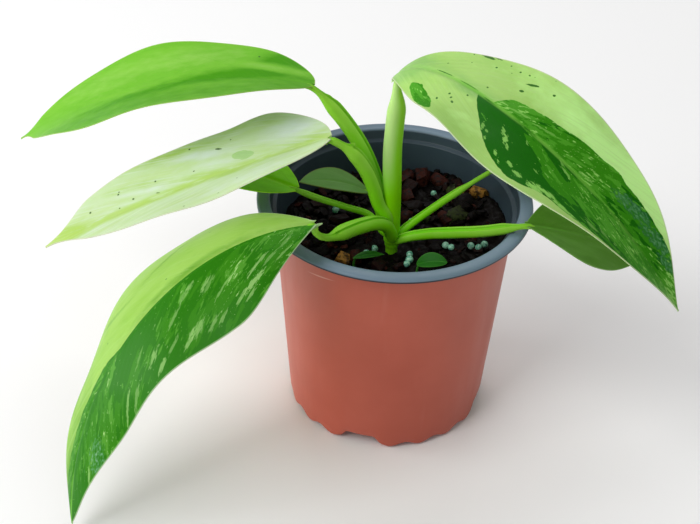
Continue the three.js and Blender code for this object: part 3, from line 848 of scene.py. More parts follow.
    def lightness(self, t: float, u: float) -> float:
        """How light the dark sector is: its tone along the blade, raised inside each pale patch."""
        tone = along_curve(self.tone_left if u > 0 else self.tone_right, t)
        return tone + sum(p.strength * smoothstep(self.inside(p, t, u), -0.3, 0.5) for p in self.patches)

    def tint_and_shading_at(self, t: float, u: float) -> float:
        """How much darker than usual the pale tissue's green is, partly its own tint and partly painted
        shade; negative where a painted highlight makes it paler.
        """
        return sum(p.strength * smoothstep(self.inside(p, t, u), 0.0, 0.9) for p in self.tints_and_shading)

    def dent(self, t: float, u: float) -> float:
        """How far the soft rises lift a point, in millimetres."""
        return sum(p.strength * math.exp(-(((t - p.along) * self.length / p.half_along) ** 2)
                                         - ((u - p.across) * self.left / p.half_across) ** 2)
                   for p in self.dents)

    def wax_and_sheen_at(self, t: float, u: float) -> float:
        """How much bluish bloom lies on a point, from 0 to 1: the cuticle's own in places, a painted
        reflection in others.
        """
        return max([0.0, *(p.strength * smoothstep(self.inside(p, t, u), 0.0, 0.7) for p in self.waxes_and_sheens)])

    def build(self, material: Material, name: str, nodes: Sequence[str]) -> Piece:
        """Models the blade: a fine upper sheet, its underside, and the margin that joins them.

        Args:
            material: Its leaf skin.
            name: The piece's name.
            nodes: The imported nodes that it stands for.

        Returns:
            The finished piece.
        """
        bm = bmesh.new()
        self.model(bm)
        return finish_piece(bm, name, nodes, material)

    def model(self, bm: BMesh) -> None:
        """Adds the blade's closed mesh, with its pattern's coordinates, to a mesh."""
        flat = bm.verts.layers.float_vector.new("flat")
        vein = bm.verts.layers.float_vector.new("vein")
        guides = {name: bm.verts.layers.float.new(name) for name in GUIDES}
        sheet = bmesh.ops.create_grid(bm, x_segments=self.columns, y_segments=self.rows, size=1.0)["verts"]
        spine = self.spine()
        axes = [self.axes(i / self.rows) for i in range(self.rows + 1)]
        cells = {}
        places = {}
        for vertex in sheet:
            row = round((vertex.co.y + 1) / 2 * self.rows)
            column = round((vertex.co.x + 1) / 2 * self.columns)
            even = 2 * column / self.columns - 1
            u = math.copysign(self.EVEN * abs(even) + (1 - self.EVEN) * abs(even) ** 1.8, even)
            cells[row, column] = (vertex, u)
            places[row, column] = self.middle(row / self.rows, u, spine[row], axes[row])
        faces = {f for v in sheet for f in v.link_faces}
        edges = {e for v in sheet for e in v.link_edges}
        twin = bmesh.ops.duplicate(bm, geom=[*sheet, *edges, *faces])["vert_map"]
        for (row, column), (vertex, u) in cells.items():
            t = row / self.rows
            width = self.half_width(t, u)
            across = abs(u) * width
            normal = self._normal(places, row, column, axes[row][2])
            rib = smoothstep(across, lerp(*self.rib_half, t) + 0.5, 0.0)
            start = self.vein_place(t, u)
            fade = smoothstep(across, 1.0, 5.0) * smoothstep(width - across, 1.0, 6.0)
            relief = self.vein_relief * math.sin(TURN * start / self.vein_spacing)
            height, length = self.LUMP
            lumps = noise.noise(Vector((t * self.length / length, u * 1.3, self.length)))
            lump = height * self.fullness(width) * lumps
            half = lerp(*self.thickness, abs(u) ** 1.5) / 2
            centre = places[row, column] + normal * ((relief + lump) * fade)
            vertex.co = centre + normal * (half - self.groove * (1 - 0.8 * t) * rib)
            twin[vertex].co = centre - normal * (half + self.rib_height * (1 - t) ** 1.3 * rib)
            side = max(-1.0, min(1.0, u * width / 2.5))
            # Besides tint and bloom, "deep" carries painted shade and highlight, and "wax" a painted
            # reflection.
            marks = {"zone": self.zone_depth(t, u), "light": self.lightness(t, u), "margin": width - across,
                     "wax": self.wax_and_sheen_at(t, u), "deep": self.tint_and_shading_at(t, u),
                     "rib": along_curve(self.rib_shows, t)}
            for v, beneath in ((vertex, 0.0), (twin[vertex], 1.0)):
                v[flat] = Vector((u * width, t * self.length, 0.0))
                v[vein] = Vector((start, t * self.length, 1.5 * side))
                v[guides["under"]] = beneath
                for name, value in marks.items():
                    v[guides[name]] = value
        bmesh.ops.bridge_loops(bm, edges=[e for e in bm.edges if e.is_boundary])
        bmesh.ops.recalc_face_normals(bm, faces=bm.faces)

    def _normal(self, places: dict[tuple[int, int], Vector], row: int, column: int, up: Vector) -> Vector:
        """Unit normal of the middle surface at a grid point, towards the leaf's upper side."""
        along = places[min(row + 1, self.rows), column] - places[max(row - 1, 0), column]
        across = places[row, min(column + 1, self.columns)] - places[row, max(column - 1, 0)]
        normal = along.cross(across).normalized()
        return normal if normal.dot(up) > 0 else -normal


# ---------------------------------------------------------------- stalks


@dataclass
class Stalk:
    """A leaf stalk: a sheath that clasps the crown, with two thin wings, then a bare grooved stalk."""

    blade: Blade
    path: tuple[Triple, ...]  # points that its centre line passes through
    root: float  # width at the crown
    sheath: float  # width of the sheath
    until: float  # share of the stalk where the sheath ends
    stalk: float  # width of the bare stalk
    heart: Triple = (-0.3, -11.5, 85.5)  # where it grows from, inside the crown
    wing: float = 0.9  # height of the sheath's wings
    tooth: float = 0.0  # height of the free tip in which the wing on the far side ends
    opening: Pair = (14.0, 20.0)  # half angle of the channel, on the bare stalk and in the sheath
    under: float = 5.0  # how far it runs on under the blade
    flatness: float = 0.84  # of its section, as a share of the width
    steps: int = 96
    outer_sides: int = 22
    inner_sides: int = 9

    def width(self, t: float) -> float:
        """Width across the stalk at a share of its length."""
        swell = lerp(self.root, self.sheath, smoothstep(t, 0.0, 0.4))
        return lerp(swell, self.stalk, smoothstep(t, self.until - 0.1, self.until + 0.04))

    def section(self, t: float) -> list[tuple[float, float, float, float]]:
        """Outline of the stalk across its route.

        Args:
            t: Share of the stalk's length.

        Returns:
            (sideways, towards the upper face, share in the channel, share in a wing) for each point.
        """
        half = self.width(t) / 2
        sheathed = 1 - smoothstep(t, self.until - 0.08, self.until + 0.02)
        opening = math.radians(lerp(*self.opening, sheathed))
        free_tip = self.tooth * math.exp(-(((t - self.until + 0.02) / 0.014) ** 2))
        height = self.wing * sheathed * smoothstep(t, 0.05, 0.3)
        points = []
        for k in range(self.outer_sides + 1):
            angle = lerp(opening, TURN - opening, k / self.outer_sides)
            near = max(0.0, 1 - min(k, self.outer_sides - k) / 2.5)
            sideways = half * math.sin(angle)
            rise = height + (free_tip if k < 3 else 0.0)
            upward = self.flatness * half * math.cos(angle) + rise * near**2
            points.append((sideways, upward, 0.0, near * sheathed))
        top = points[0][1]
        floor = self.flatness * half * math.cos(opening) - lerp(0.08, 0.2, sheathed) * half
        span = half * math.sin(opening) * 0.86
        for k in range(1, self.inner_sides + 1):
            turn = math.pi * k / (self.inner_sides + 1)
            depth = math.sin(turn) ** 0.6
            points.append((-span * math.cos(turn), lerp(top - 0.1 * half, floor, depth), depth, 0.0))
        return points

    def route(self) -> list[Vector]:
        """Centre line from inside the crown to under the blade's base."""
        tangent, _, up = self.blade.axes(0.03)
        base = Vector(self.blade.base)
        sink = 0.36 * self.stalk
        ends = [base - tangent * 0.4 - up * sink, base + tangent * self.under - up * (sink + 0.5)]
        return smooth_route([Vector(p) for p in (self.heart, *self.path)] + ends, self.steps + 1)

    def build(self, material: Material) -> Piece:
        """Models the stalk along its route.

        Args:
            material: Its skin.

        Returns:
            The finished piece.
        """
        bm = bmesh.new()
        layers = [bm.verts.layers.float.new(name) for name in STALK_GUIDES]
        route = self.route()
        heading = math.radians(self.blade.heading)
        inward = Vector((-math.cos(heading), -math.sin(heading), 1.0))
        rings = []
        marks = []
        for i, (centre, ahead) in enumerate(zip(route, directions(route))):
            t = i / self.steps
            face = (inward - ahead * inward.dot(ahead)).normalized()
            side = ahead.cross(face)
            taper = lerp(1.0, 0.5, smoothstep(t, 0.93, 1.0)) * lerp(0.55, 1.0, smoothstep(t, 0.0, 0.1))
            outline = self.section(t)
            half = self.width(t) / 2
            rings.append([centre + side * (x * taper) + face * (y * taper) for x, y, _, _ in outline])
            marks.append([(t, 0.5 * inner, 0.6 * edge, x / half) for x, _, inner, edge in outline])
        for vertices, labels in zip(loft(bm, rings), marks):
            for vertex, values in zip(vertices, labels):
                for layer, value in zip(layers, values):
                    vertex[layer] = value
        letter = self.blade.letter
        return finish_piece(bm, f"stalk_{letter}", [f"petiole_{letter}"], material, 60.0)


@dataclass
class Crown:
    """The plant's short stem, swelling under the sheaths and ringed by old leaf scars."""

    place: Pair = (-0.3, -12.0)
    foot: float = 70.0  # heights of its foot, of the mix's surface, of its shoulder and of its tip
    level: float = 83.0
    shoulder: float = 87.0
    tip: float = 89.2
    neck: float = 2.4  # radius in the mix
    top: float = 3.3  # radius at the shoulder
    scars: Pair = (0.18, 2.6)  # height and spacing of the leaf scars
    rings: int = 31
    sides: int = 24

    def build(self, material: Material) -> Piece:
        """Models the stem as a turned shape.

        Args:
            material: The stalks' skin.

        Returns:
            The finished piece.
        """
        bm = bmesh.new()
        along = bm.verts.layers.float.new("along")
        rings = []
        for k in range(self.rings):
            z = lerp(self.foot, self.tip, k / (self.rings - 1))
            swell = smoothstep(z, self.level - 1, self.shoulder)
            height, spacing = self.scars
            scar = height * math.sin(TURN * z / spacing) * smoothstep(z, self.level, self.level + 1)
            radius = lerp(self.neck, self.top, swell) + scar
            radius *= math.cos(math.pi / 2 * smoothstep(z, self.tip - 2.2, self.tip + 0.4))
            centre = Vector((*self.place, z))
            rings.append(ring(centre, Vector((1, 0, 0)), Vector((0, 1, 0)), radius, self.sides))
        loft(bm, rings)
        for vertex in bm.verts:
            vertex[along] = 0.1
        return finish_piece(bm, "crown_stem", ["crown"], material)


@dataclass
class Seedling:
    """A small self-sown plant in the mix: one blade on a thin stem."""

    name: str
    foot: Pair
    blade: Blade
    root: float = 78.0  # height that the stem starts from, inside the mix
    radius: float = 0.55
    steps: int = 15
    sides: int = 12

    def build(self, material: Material) -> Piece:
        """Models the blade and the stem as one piece.

        Args:
            material: Its leaf skin.

        Returns:
            The finished piece.
        """
        bm = bmesh.new()
        self.blade.model(bm)
        start = Vector((*self.foot, self.root))
        knee = Vector((*self.foot, self.blade.base[2] - 2.0))
        end = Vector(self.blade.base) + self.blade.axes(0.0)[0] * 1.2
        route = smooth_route([start, knee, end], self.steps)
        rings = []
        for i, (centre, ahead) in enumerate(zip(route, directions(route))):
            side = ahead.orthogonal().normalized()
            radius = self.radius * lerp(1.25, 0.7, i / (self.steps - 1))
            rings.append(ring(centre, side, ahead.cross(side), radius, self.sides))
        loft(bm, rings)
        return finish_piece(bm, f"{self.name}_plant", [self.name], material)


# ---------------------------------------------------------------- pot and mix


@dataclass
class NurseryPot:
    """A two-tone nursery pot: a terracotta skin outside and a blue-grey lining with the rolled rim."""

    height: float = 99.0
    rim_outer: float = 55.0  # radii of the flat rim
    rim_inner: float = 49.4
    lip_drop: float = 2.4  # how far the rim's edge is turned down
    collar: float = 4.8  # height of the collar over the stacking ledge
    body_top: float = 48.1  # radii of the tapered body
    base_radius: float = 40.9
    wall: float = 1.2
    floor_under: float = 5.5  # height of the floor's underside
    boss: float = 8.0  # radius of the centre boss
    foot_ring: float = 3.6  # width of the foot ring
    pitches: int = 20  # scallops round the foot
    notch: float = 2.1  # their height
    drains: int = 4  # wide notches
    drain_heading: float = -103.0  # of the first of them
    holes: int = 8
    hole_radius: float = 3.5
    hole_circle: float = 25.0
    segments: int = 240
    edge_round: float = 0.32

    def wall_radius(self, z: float) -> float:
        """Outside radius of the tapered body at a height."""
        top = self.height - self.collar - self.wall
        return self.base_radius + (self.body_top - self.base_radius) * z / top

    def inner_radius(self, z: float) -> float:
        """Inside radius of the tapered body at a height."""
        return self.wall_radius(z) - self.wall

    def foot_lift(self, angle: float) -> float:
        """Height of the foot ring's underside at a heading, in radians: 0 on a foot."""
        pitches = (angle - math.radians(self.drain_heading)) * self.pitches / (TURN)
        every = self.pitches / self.drains
        off = abs(pitches - every * round(pitches / every))
        small = self.notch * (0.5 - 0.5 * math.cos(TURN * pitches))
        wide = self.floor_under * (1 - smoothstep(off, 0.4, 0.8))
        return max(small, wide)

    def _joint(self) -> list[Pair]:
        """Where skin and lining meet inside the wall, from the middle of the floor to the rim."""
        ledge = self.height - self.collar
        half = self.wall / 2
        return [(0.0, self.floor_under + half), (self.base_radius - 2.3, self.floor_under + half),
                (self.wall_radius(9) - half, 9.2), (self.body_top - half, ledge - half),
                (self.rim_inner - 0.15, ledge + 0.2),
                (self.rim_inner + 0.8, self.height - self.lip_drop + 0.9)]

    def skin_section(self) -> list[Pair]:
        """Section of the terracotta skin: its outside from the middle of the underside to under the rim."""
        ledge = self.height - self.collar
        foot = self.base_radius - self.foot_ring
        outside = [(0.0, 0.0), (self.boss, 0.0), (self.boss + 1.5, self.floor_under),
                   (foot - 1.2, self.floor_under), (foot, 0.0), (self.base_radius - 1, 0.0),
                   (self.base_radius + 0.05, 1.1), (self.wall_radius(5), 5.0), (self.wall_radius(9), 9.0),
                   (self.wall_radius(50), 50.0), (self.body_top, ledge - self.wall),
                   (self.rim_inner + 0.4, ledge - 0.2),
                   (self.rim_inner + self.wall, self.height - self.lip_drop + 0.9)]
        return outside + self._joint()[::-1]

    def lining_section(self) -> list[Pair]:
        """Section of the blue-grey lining: its inside, the flat rim and the turned-down lip."""
        ledge = self.height - self.collar
        lip = self.height - self.lip_drop
        floor = self.floor_under + self.wall
        inside = [(0.0, floor), (self.base_radius - self.wall - 1.4, floor), (self.inner_radius(9), 9.0),
                  (self.body_top - self.wall, ledge),
                  (self.rim_inner - 0.7, ledge + 0.6), (self.rim_inner, self.height - 0.7),
                  (self.rim_inner + 0.8, self.height), (self.rim_outer - 1.3, self.height),
                  (self.rim_outer - 0.3, self.height - 0.5), (self.rim_outer, lip + 1.1),
                  (self.rim_outer - 0.2, lip + 0.3), (self.rim_outer - 1.2, lip),
                  (self.rim_outer - 1.7, lip + 1.0)]
        return inside + self._joint()[::-1]

    def build(self, skin: Material, lining: Material) -> list[Piece]:
        """Models both layers by turning their sections round the pot's axis.

        Args:
            skin: Material of the outside.
            lining: Material of the inside and the rim.

        Returns:
            The two finished pieces.
        """
        layers = (("pot_skin", self.skin_section(), skin), ("pot_lining", self.lining_section(), lining))
        return [self._turned(name, section, material) for name, section, material in layers]

    def _turned(self, name: str, section: list[Pair], material: Material) -> Piece:
        """One layer, turned from its section, scalloped at the foot and drilled for drainage."""
        bm = bmesh.new()
        corners = [bm.verts.new((r, 0.0, z)) for r, z in section]
        edges = [bm.edges.new(pair) for pair in zip(corners, corners[1:])]
        bmesh.ops.spin(bm, geom=[*corners, *edges], cent=(0, 0, 0), axis=(0, 0, 1), angle=TURN,
                       steps=self.segments, use_merge=True)
        bmesh.ops.remove_doubles(bm, verts=bm.verts, dist=0.001)
        for vertex in bm.verts:
            self._shape_foot(vertex)
        bmesh.ops.recalc_face_normals(bm, faces=bm.faces)
        ring_edges = [e for e in bm.edges if self._is_corner(e)]
        bmesh.ops.bevel(bm, geom=ring_edges, offset=self.edge_round, offset_type="OFFSET", affect="EDGES",
                        segments=2, profile=0.5, material=-1, clamp_overlap=True)
        piece = finish_piece(bm, name, ["pot"], material, 50.0)
        self._drill(piece)
        return piece

    def _shape_foot(self, vertex: bmesh.types.BMVert) -> None:
        """Raises a vertex of the foot ring or the lowest wall into the scallop at its heading."""
        x, y, z = vertex.co
        radius = math.hypot(x, y)
        ring_inside = self.base_radius - self.foot_ring - 1.3
        if radius < ring_inside or z > 9:
            return
        top = self.floor_under if radius < self.base_radius - self.foot_ring + 0.1 else 9.0
        if z < top and not (radius < self.base_radius - 2.0 and z > self.floor_under - 0.01):
            vertex.co.z += self.foot_lift(math.atan2(y, x)) * (1 - z / top)

    @staticmethod
    def _is_corner(edge: bmesh.types.BMEdge) -> bool:
        """True for an edge that runs round the pot where the section turns sharply."""
        if len(edge.link_faces) != 2:
            return False
        a, b = (v.co for v in edge.verts)
        level = abs(math.hypot(a.x, a.y) - math.hypot(b.x, b.y)) < 0.05
        return level and math.hypot(a.x, a.y) > 5 and edge.calc_face_angle(0.0) > math.radians(28)

    def _drill(self, piece: Piece) -> None:
        """Cuts the drainage holes through the floor."""
        bm = bmesh.new()
        for k in range(self.holes):
            angle = math.radians(self.drain_heading) + TURN * (k + 0.5) / self.holes
            place = Vector((self.hole_circle * math.cos(angle), self.hole_circle * math.sin(angle), 6.0))
            bmesh.ops.create_cone(bm, cap_ends=True, segments=32, radius1=self.hole_radius,
                                  radius2=self.hole_radius, depth=9.0, matrix=Matrix.Translation(place))
        drill = to_object(bm, "drill")
        cut = piece.modifiers.new("drain_holes", "BOOLEAN")
        cut.operation = "DIFFERENCE"
        cut.solver = "EXACT"
        cut.object = drill
        graph = bpy.context.evaluated_depsgraph_get()
        drilled = bpy.data.meshes.new_from_object(piece.evaluated_get(graph))
        piece.modifiers.clear()
        piece.data = drilled
        bpy.data.objects.remove(drill)


@dataclass
class GrowingMix:
    """Bark and peat mix: a crumbly bed, loose bark pieces on it, and fertiliser prills."""

    pot: NurseryPot
    level: float = 83.0
    slope: float = 0.05  # rise towards +X
    unevenness: float = 0.9
    grid: int = 150  # faces along each side of the bed's mesh
    crumb: Pair = (1.3, 4.5)  # height and width of the crumbs
    hollow: Pair = (1.2, 9.0)  # depth and width of the hollows between them
    sizes: tuple[tuple[float, float, int], ...] = ((5.0, 9.5, 40), (2.6, 5.0, 150), (1.2, 2.6, 260))
    seed: int = 7

    def height(self, x: float, y: float) -> float:
        """Height of the mix at a place, without its crumbs."""
        lumps = math.sin(x / 6.1 + y / 9.3) + 0.8 * math.cos(y / 5.2 - x / 11)
        return self.level + self.slope * x + self.unevenness * lumps

    def build_bed(self, material: Material) -> Piece:
        """Models the bed: a fine crumbly top over the filling that reaches down to the pot's floor.

        Args:
            material: Its bark mix.

        Returns:
            The finished piece.
        """
        bm = bmesh.new()
        tone = bm.verts.layers.float.new("tone")
        top = bmesh.ops.create_grid(bm, x_segments=self.grid, y_segments=self.grid, size=1.0)["verts"]
        for vertex in top:
            x, y = vertex.co.x, vertex.co.y
            far = max(abs(x), abs(y))
            radius = far * (self.pot.inner_radius(self.level) - 0.05)
            angle = math.atan2(y, x) if far > 0 else 0.0
            px, py = radius * math.cos(angle), radius * math.sin(angle)
            (tall, wide), (deep, broad) = self.crumb, self.hollow
            crumbs = tall * (noise.turbulence(Vector((px / wide, py / wide, 1.7)), 4, False) - 0.5)
            hollows = deep * noise.noise(Vector((px / broad, py / broad, 5.0)))
            vertex.co = Vector((px, py, self.height(px, py) - 1.0 + crumbs + hollows))
            vertex[tone] = 0.0
        skirt = bmesh.ops.extrude_edge_only(bm, edges=[e for e in bm.edges if e.is_boundary])["geom"]
        floor = self.pot.floor_under + self.pot.wall + 0.05
        foot = self.pot.base_radius - self.pot.wall - 1.6
        low = [v for v in skirt if isinstance(v, bmesh.types.BMVert)]
        for vertex in low:
            scale = foot / math.hypot(vertex.co.x, vertex.co.y)
            vertex.co = Vector((vertex.co.x * scale, vertex.co.y * scale, floor))
        bmesh.ops.contextual_create(bm, geom=[e for e in bm.edges if e.is_boundary])
        bmesh.ops.recalc_face_normals(bm, faces=bm.faces)
        return finish_piece(bm, "mix_bed", ["potting_mix"], material, 180.0)

    def build_bark(self, material: Material, clear: Sequence[Triple]) -> Piece:
        """Models the loose bark pieces on the bed, as one piece.

        Args:
            material: Its bark mix, with a tone for each piece of bark.
            clear: (x, y, radius) of the stems that large pieces keep clear of.

        Returns:
            The finished piece.
        """
        bm = bmesh.new()
        tone = bm.verts.layers.float.new("tone")
        draw = random.Random(self.seed)
        for low, high, count in self.sizes:
            for _ in range(count):
                size = draw.uniform(low, high)
                reach = (self.pot.inner_radius(self.level) - 0.62 * size - 0.4) * math.sqrt(draw.random())
                angle = draw.uniform(0, TURN)
                x, y = reach * math.cos(angle), reach * math.sin(angle)
                shade = 0.7 * draw.random() ** 1.5
                turn = (draw.uniform(-0.6, 0.6), draw.uniform(-0.6, 0.6), draw.uniform(0, 6.28))
                flat = (size, size * draw.uniform(0.45, 0.8), size * draw.uniform(0.25, 0.5))
                if any(math.hypot(x - cx, y - cy) < r + 0.55 * size for cx, cy, r in clear):
                    continue
                place = (x, y, self.height(x, y) - 0.6 + 0.12 * size)
                self._add_bark(bm, place, flat, turn, shade, tone, draw)
        for x, y, size, shade in FOUND_BARK:
            place = (x, y, self.height(x, y) + 0.1)
            flat = (size, 0.75 * size, 0.55 * size)
            self._add_bark(bm, place, flat, (0.3, 0.2, x), shade, tone, draw)
        bmesh.ops.recalc_face_normals(bm, faces=bm.faces)
        return finish_piece(bm, "bark_pieces", ["potting_mix"], material, 55.0)

    @staticmethod
    def _add_bark(bm: BMesh, place: Triple, size: Triple, turn: Triple, shade: float,
                  tone: bmesh.types.BMLayerItem, draw: random.Random) -> None:
        """Adds one angular piece of bark, as a bevelled block with its corners knocked about."""
        block = bmesh.ops.create_cube(bm, size=1.0)["verts"]
        edges = list({e for v in block for e in v.link_edges})
        bevelled = bmesh.ops.bevel(bm, geom=edges, offset=0.2, offset_type="OFFSET", affect="EDGES",
                                   segments=1, profile=0.5, material=-1)["verts"]
        placed = Matrix.Translation(place)
        for angle, axis in zip(reversed(turn), "ZYX"):
            placed = placed @ Matrix.Rotation(angle, 4, axis)
        for vertex in bevelled:
            local = vertex.co + Vector(tuple(draw.uniform(-0.13, 0.13) for _ in range(3)))
            vertex.co = placed @ Vector([a * b for a, b in zip(local, size)])
            vertex[tone] = shade

    def build_prills(self, material: Material) -> Piece:
        """Models the fertiliser prills that lie in the open, as one piece.

        Args:
            material: Their coat.

        Returns:
            The finished piece.
        """
        bm = bmesh.new()
        draw = random.Random(self.seed + 1)
        for x, y in PRILLS:
            radius = draw.uniform(1.3, 1.6)
            place = (x, y, self.height(x, y) + 0.5 * radius)
            bmesh.ops.create_uvsphere(bm, u_segments=20, v_segments=12, radius=radius,
                                      matrix=Matrix.Translation(place))
        return finish_piece(bm, "prills", ["potting_mix"], material)


# Bark pieces that stand out: place, size, and tone in the finish's range.
FOUND_BARK = (
    (-19.0, -22.0, 6.5, 0.93), (-5.0, -26.5, 7.0, 0.5), (4.0, 36.0, 8.5, 0.6), (11.0, 37.0, 8.0, 0.6),
    (18.0, 34.0, 7.0, 0.6), (5.0, 23.0, 6.5, 0.6), (34.0, 25.5, 7.0, 0.93), (23.5, 26.5, 6.0, 0.78),
    (-22.0, 6.0, 8.0, 0.5), (-31.0, 14.0, 7.0, 0.5), (16.0, 15.0, 7.0, 0.5), (-14.0, -20.0, 6.0, 0.6),
    (25.8, 8.8, 9.0, 0.78), (27.5, 27.0, 4.5, 0.93), (12.5, 5.5, 4.0, 0.78),
)

# Where the fertiliser prills lie.
PRILLS = (
    (5.2, 5.1), (9.3, 2.9), (7.2, 1.8), (36.4, -10.7), (23.2, -14.6), (7.0, -17.0), (7.0, -21.0),
    (6.0, -24.0), (-10.0, -18.0), (-7.0, -14.0), (21.0, -13.0), (31.0, -12.0), (34.0, -13.0),
    (-24.0, 12.0), (16.0, 26.0),
)


# ---------------------------------------------------------------- studio


@dataclass
class Studio:
    """A pale table, soft light all round with a large lamp at the left, and the camera."""

    eye: Triple = (0.0, -492.1, 436.0)
    pitch: float = 37.02  # degrees down
    yaw: float = -1.98  # degrees, positive to the right
    roll: float = 1.94
    focal_pixels: float = 1500.0
    image_width: float = 700.0
    floor_size: float = 6000.0
    sky: float = 0.41  # strength of the light from all round
    lamps: tuple[tuple[str, Triple, float, float], ...] = (  # name, place, width and watts
        ("key", (-1300.0, -1100.0, 1900.0), 1300.0, 31.0), ("back", (-100.0, 1000.0, 1500.0), 1000.0, 8.0),
        ("left", (-1100.0, -100.0, 260.0), 700.0, 8.4), ("right", (1100.0, 400.0, 300.0), 500.0, 0.3))

    def build(self) -> None:
        """Makes the floor, the lights and the camera."""
        self._floor()
        self._sky()
        for lamp in self.lamps:
            self._lamp(*lamp)
        self._camera()

    def _floor(self) -> None:
        """The pale surface that the pot stands on."""
        bm = bmesh.new()
        bmesh.ops.create_grid(bm, x_segments=1, y_segments=1, size=self.floor_size / 2)
        floor = to_object(bm, "table")
        paper = Paint("matte white paper sweep").surface({"Base Color": linear("#f4f4f4"), "Roughness": 0.9})
        floor.data.materials.append(paper)

    def _sky(self) -> None:
        """Soft white light from all round."""
        world = bpy.data.worlds.new("white room")
        world.use_nodes = True
        background = world.node_tree.nodes["Background"]
        background.inputs["Color"].default_value = (1.0, 1.0, 1.0, 1.0)
        background.inputs["Strength"].default_value = self.sky
        bpy.context.scene.world = world
        bpy.context.scene.view_settings.view_transform = "Standard"

    @staticmethod
    def _lamp(name: str, place: Triple, size: float, watts: float) -> None:
        """A square soft box that faces the plant."""
        lamp = bpy.data.lights.new(name, "AREA")
        lamp.size = size * MM
        lamp.energy = watts
        box = bpy.data.objects.new(name, lamp)
        box.location = Vector(place) * MM
        aim = Vector((0.0, 0.0, 100.0)) - Vector(place)
        box.rotation_euler = aim.to_track_quat("-Z", "Y").to_euler()
        bpy.context.scene.collection.objects.link(box)

    def _camera(self) -> None:
        """The camera, from its place, its three angles and its focal length in pixels."""
        pitch, yaw, roll = (math.radians(a) for a in (self.pitch, self.yaw, self.roll))
        forward = Vector((math.sin(yaw) * math.cos(pitch), math.cos(yaw) * math.cos(pitch), -math.sin(pitch)))
        level = Vector((math.cos(yaw), -math.sin(yaw), 0.0))
        upright = level.cross(forward)
        right = level * math.cos(roll) + upright * math.sin(roll)
        up = upright * math.cos(roll) - level * math.sin(roll)
        data = bpy.data.cameras.new("camera")
        data.sensor_width = 36.0
        data.lens = data.sensor_width * self.focal_pixels / self.image_width
        data.clip_start = 0.01
        data.clip_end = 50.0
        camera = bpy.data.objects.new("camera", data)
        turn = Matrix((right, up, -forward)).transposed().to_4x4()
        camera.matrix_world = Matrix.Translation(Vector(self.eye) * MM) @ turn
        bpy.context.scene.collection.objects.link(camera)
        bpy.context.scene.camera = camera


# ---------------------------------------------------------------- the plant


BLADE_A = Blade(
    "a", Slot.LIME, (-34.4, -1, 148.1), 145.3, heading=160.3, climb=-1.1, droop=37.9, left=28.2, right=27.1,
    widest=0.5, shoulder=0.48, taper=1.01, sweep=4, late=0.7, roll=7.2, twist=-25, fold=(8.8, 13.2),
    curl=0.01, wave=0.6, phase=(0.23, -0.06), vein_relief=0.02, crease=6.0, groove=0.1, drip=0.04,
    rib_shows=((0.0, 0.0), (0.05, 0.0)),
    # These patches paint shade along the fold and near the base, and a highlight where their strength is
    # below 0.
    tints_and_shading=patches((0.0, 0.3, 60, 30, 0.5, 0), (0.1, -0.97, 22, 7, 1.0, 0), (0.27, -0.08, 62, 7.5, 0.9, -9),
        (0.58, 0.26, 36, 7, 0.3, 4), (0.5, 0.6, 85, 20, 0.6, 0), (0.1, -0.5, 26, 4, -1.2, 6),
        (0.42, -0.6, 50, 9, -0.4, 0), (0.7, -0.5, 34, 11, -0.3, 0)),
    marks=patches((0.194, -0.75, 0.6, 0.4)))
BLADE_B = Blade(
    "b", Slot.CREAM, (-26.5, -14, 133), 127, heading=176, climb=-25, droop=5, left=22, right=24,
    widest=0.22, shoulder=0.5, taper=1.0, taper_right=0.55, sweep=8, roll=2, twist=-19, fold=(11, 16),
    curl=0.01, wave=0.7, phase=(-0.16, 0.5), vein_relief=0.05, vein_turn=(24.0, 6.0), vein_spacing=4.2,
    crease=3.0, drip=0.08, groove=0.2, ragged=0.9,
    dents=patches((0.34, -1.0, 12, 8, -1.8), (0.2, -1.0, 12, 8, 0.8)),
    rib_shows=((0.0, 0.6), (0.25, 0.8), (0.6, 0.9), (1.0, 0.7)),
    # These patches darken the green in places; below 0 they are painted highlights along the side veins.
    tints_and_shading=patches((0.97, 0.3, 26, 8, 0.9, 0), (0.97, -0.3, 26, 8, 0.9, 0), (0.06, -0.15, 14, 5, 0.7, 0),
        (0.55, -0.93, 34, 4.5, 0.9, 0), (0.19, -0.8, 8, 2, 0.6, 20), (0.66, -0.5, 24, 3, 0.5, 8),
        (0.44, -0.14, 20, 2.6, 0.7, 8), (0.33, 0.1, 14, 3, 0.8, 0), (0.3, -0.96, 14, 3, 0.5, 0),
        (0.43, -0.6, 22, 4, -0.8, 12), (0.375, -0.3, 16, 2.5, -0.6, 12), (0.12, -0.6, 20, 9, -0.9, 0),
        (0.62, -0.3, 22, 2, -0.6, 10), (0.25, 0.6, 34, 8, -0.4, 0)),
    islands=patches((0.285, -0.26, 4.6, 2.3, 1, 19)),
    marks=patches((0.371, -0.6, 1.7, 0.45, 1, 22), (0.469, -0.85, 0.5, 0.45), (0.588, -0.42, 0.45, 0.4),
        (0.581, -0.12, 0.9, 0.3, 1, 20), (0.719, -0.53, 0.45, 0.4), (0.669, -0.23, 0.55, 0.4),
        (0.825, -0.47, 0.55, 0.45), (0.72, -0.15, 0.4, 0.35), (0.33, -0.72, 0.35, 0.3)))
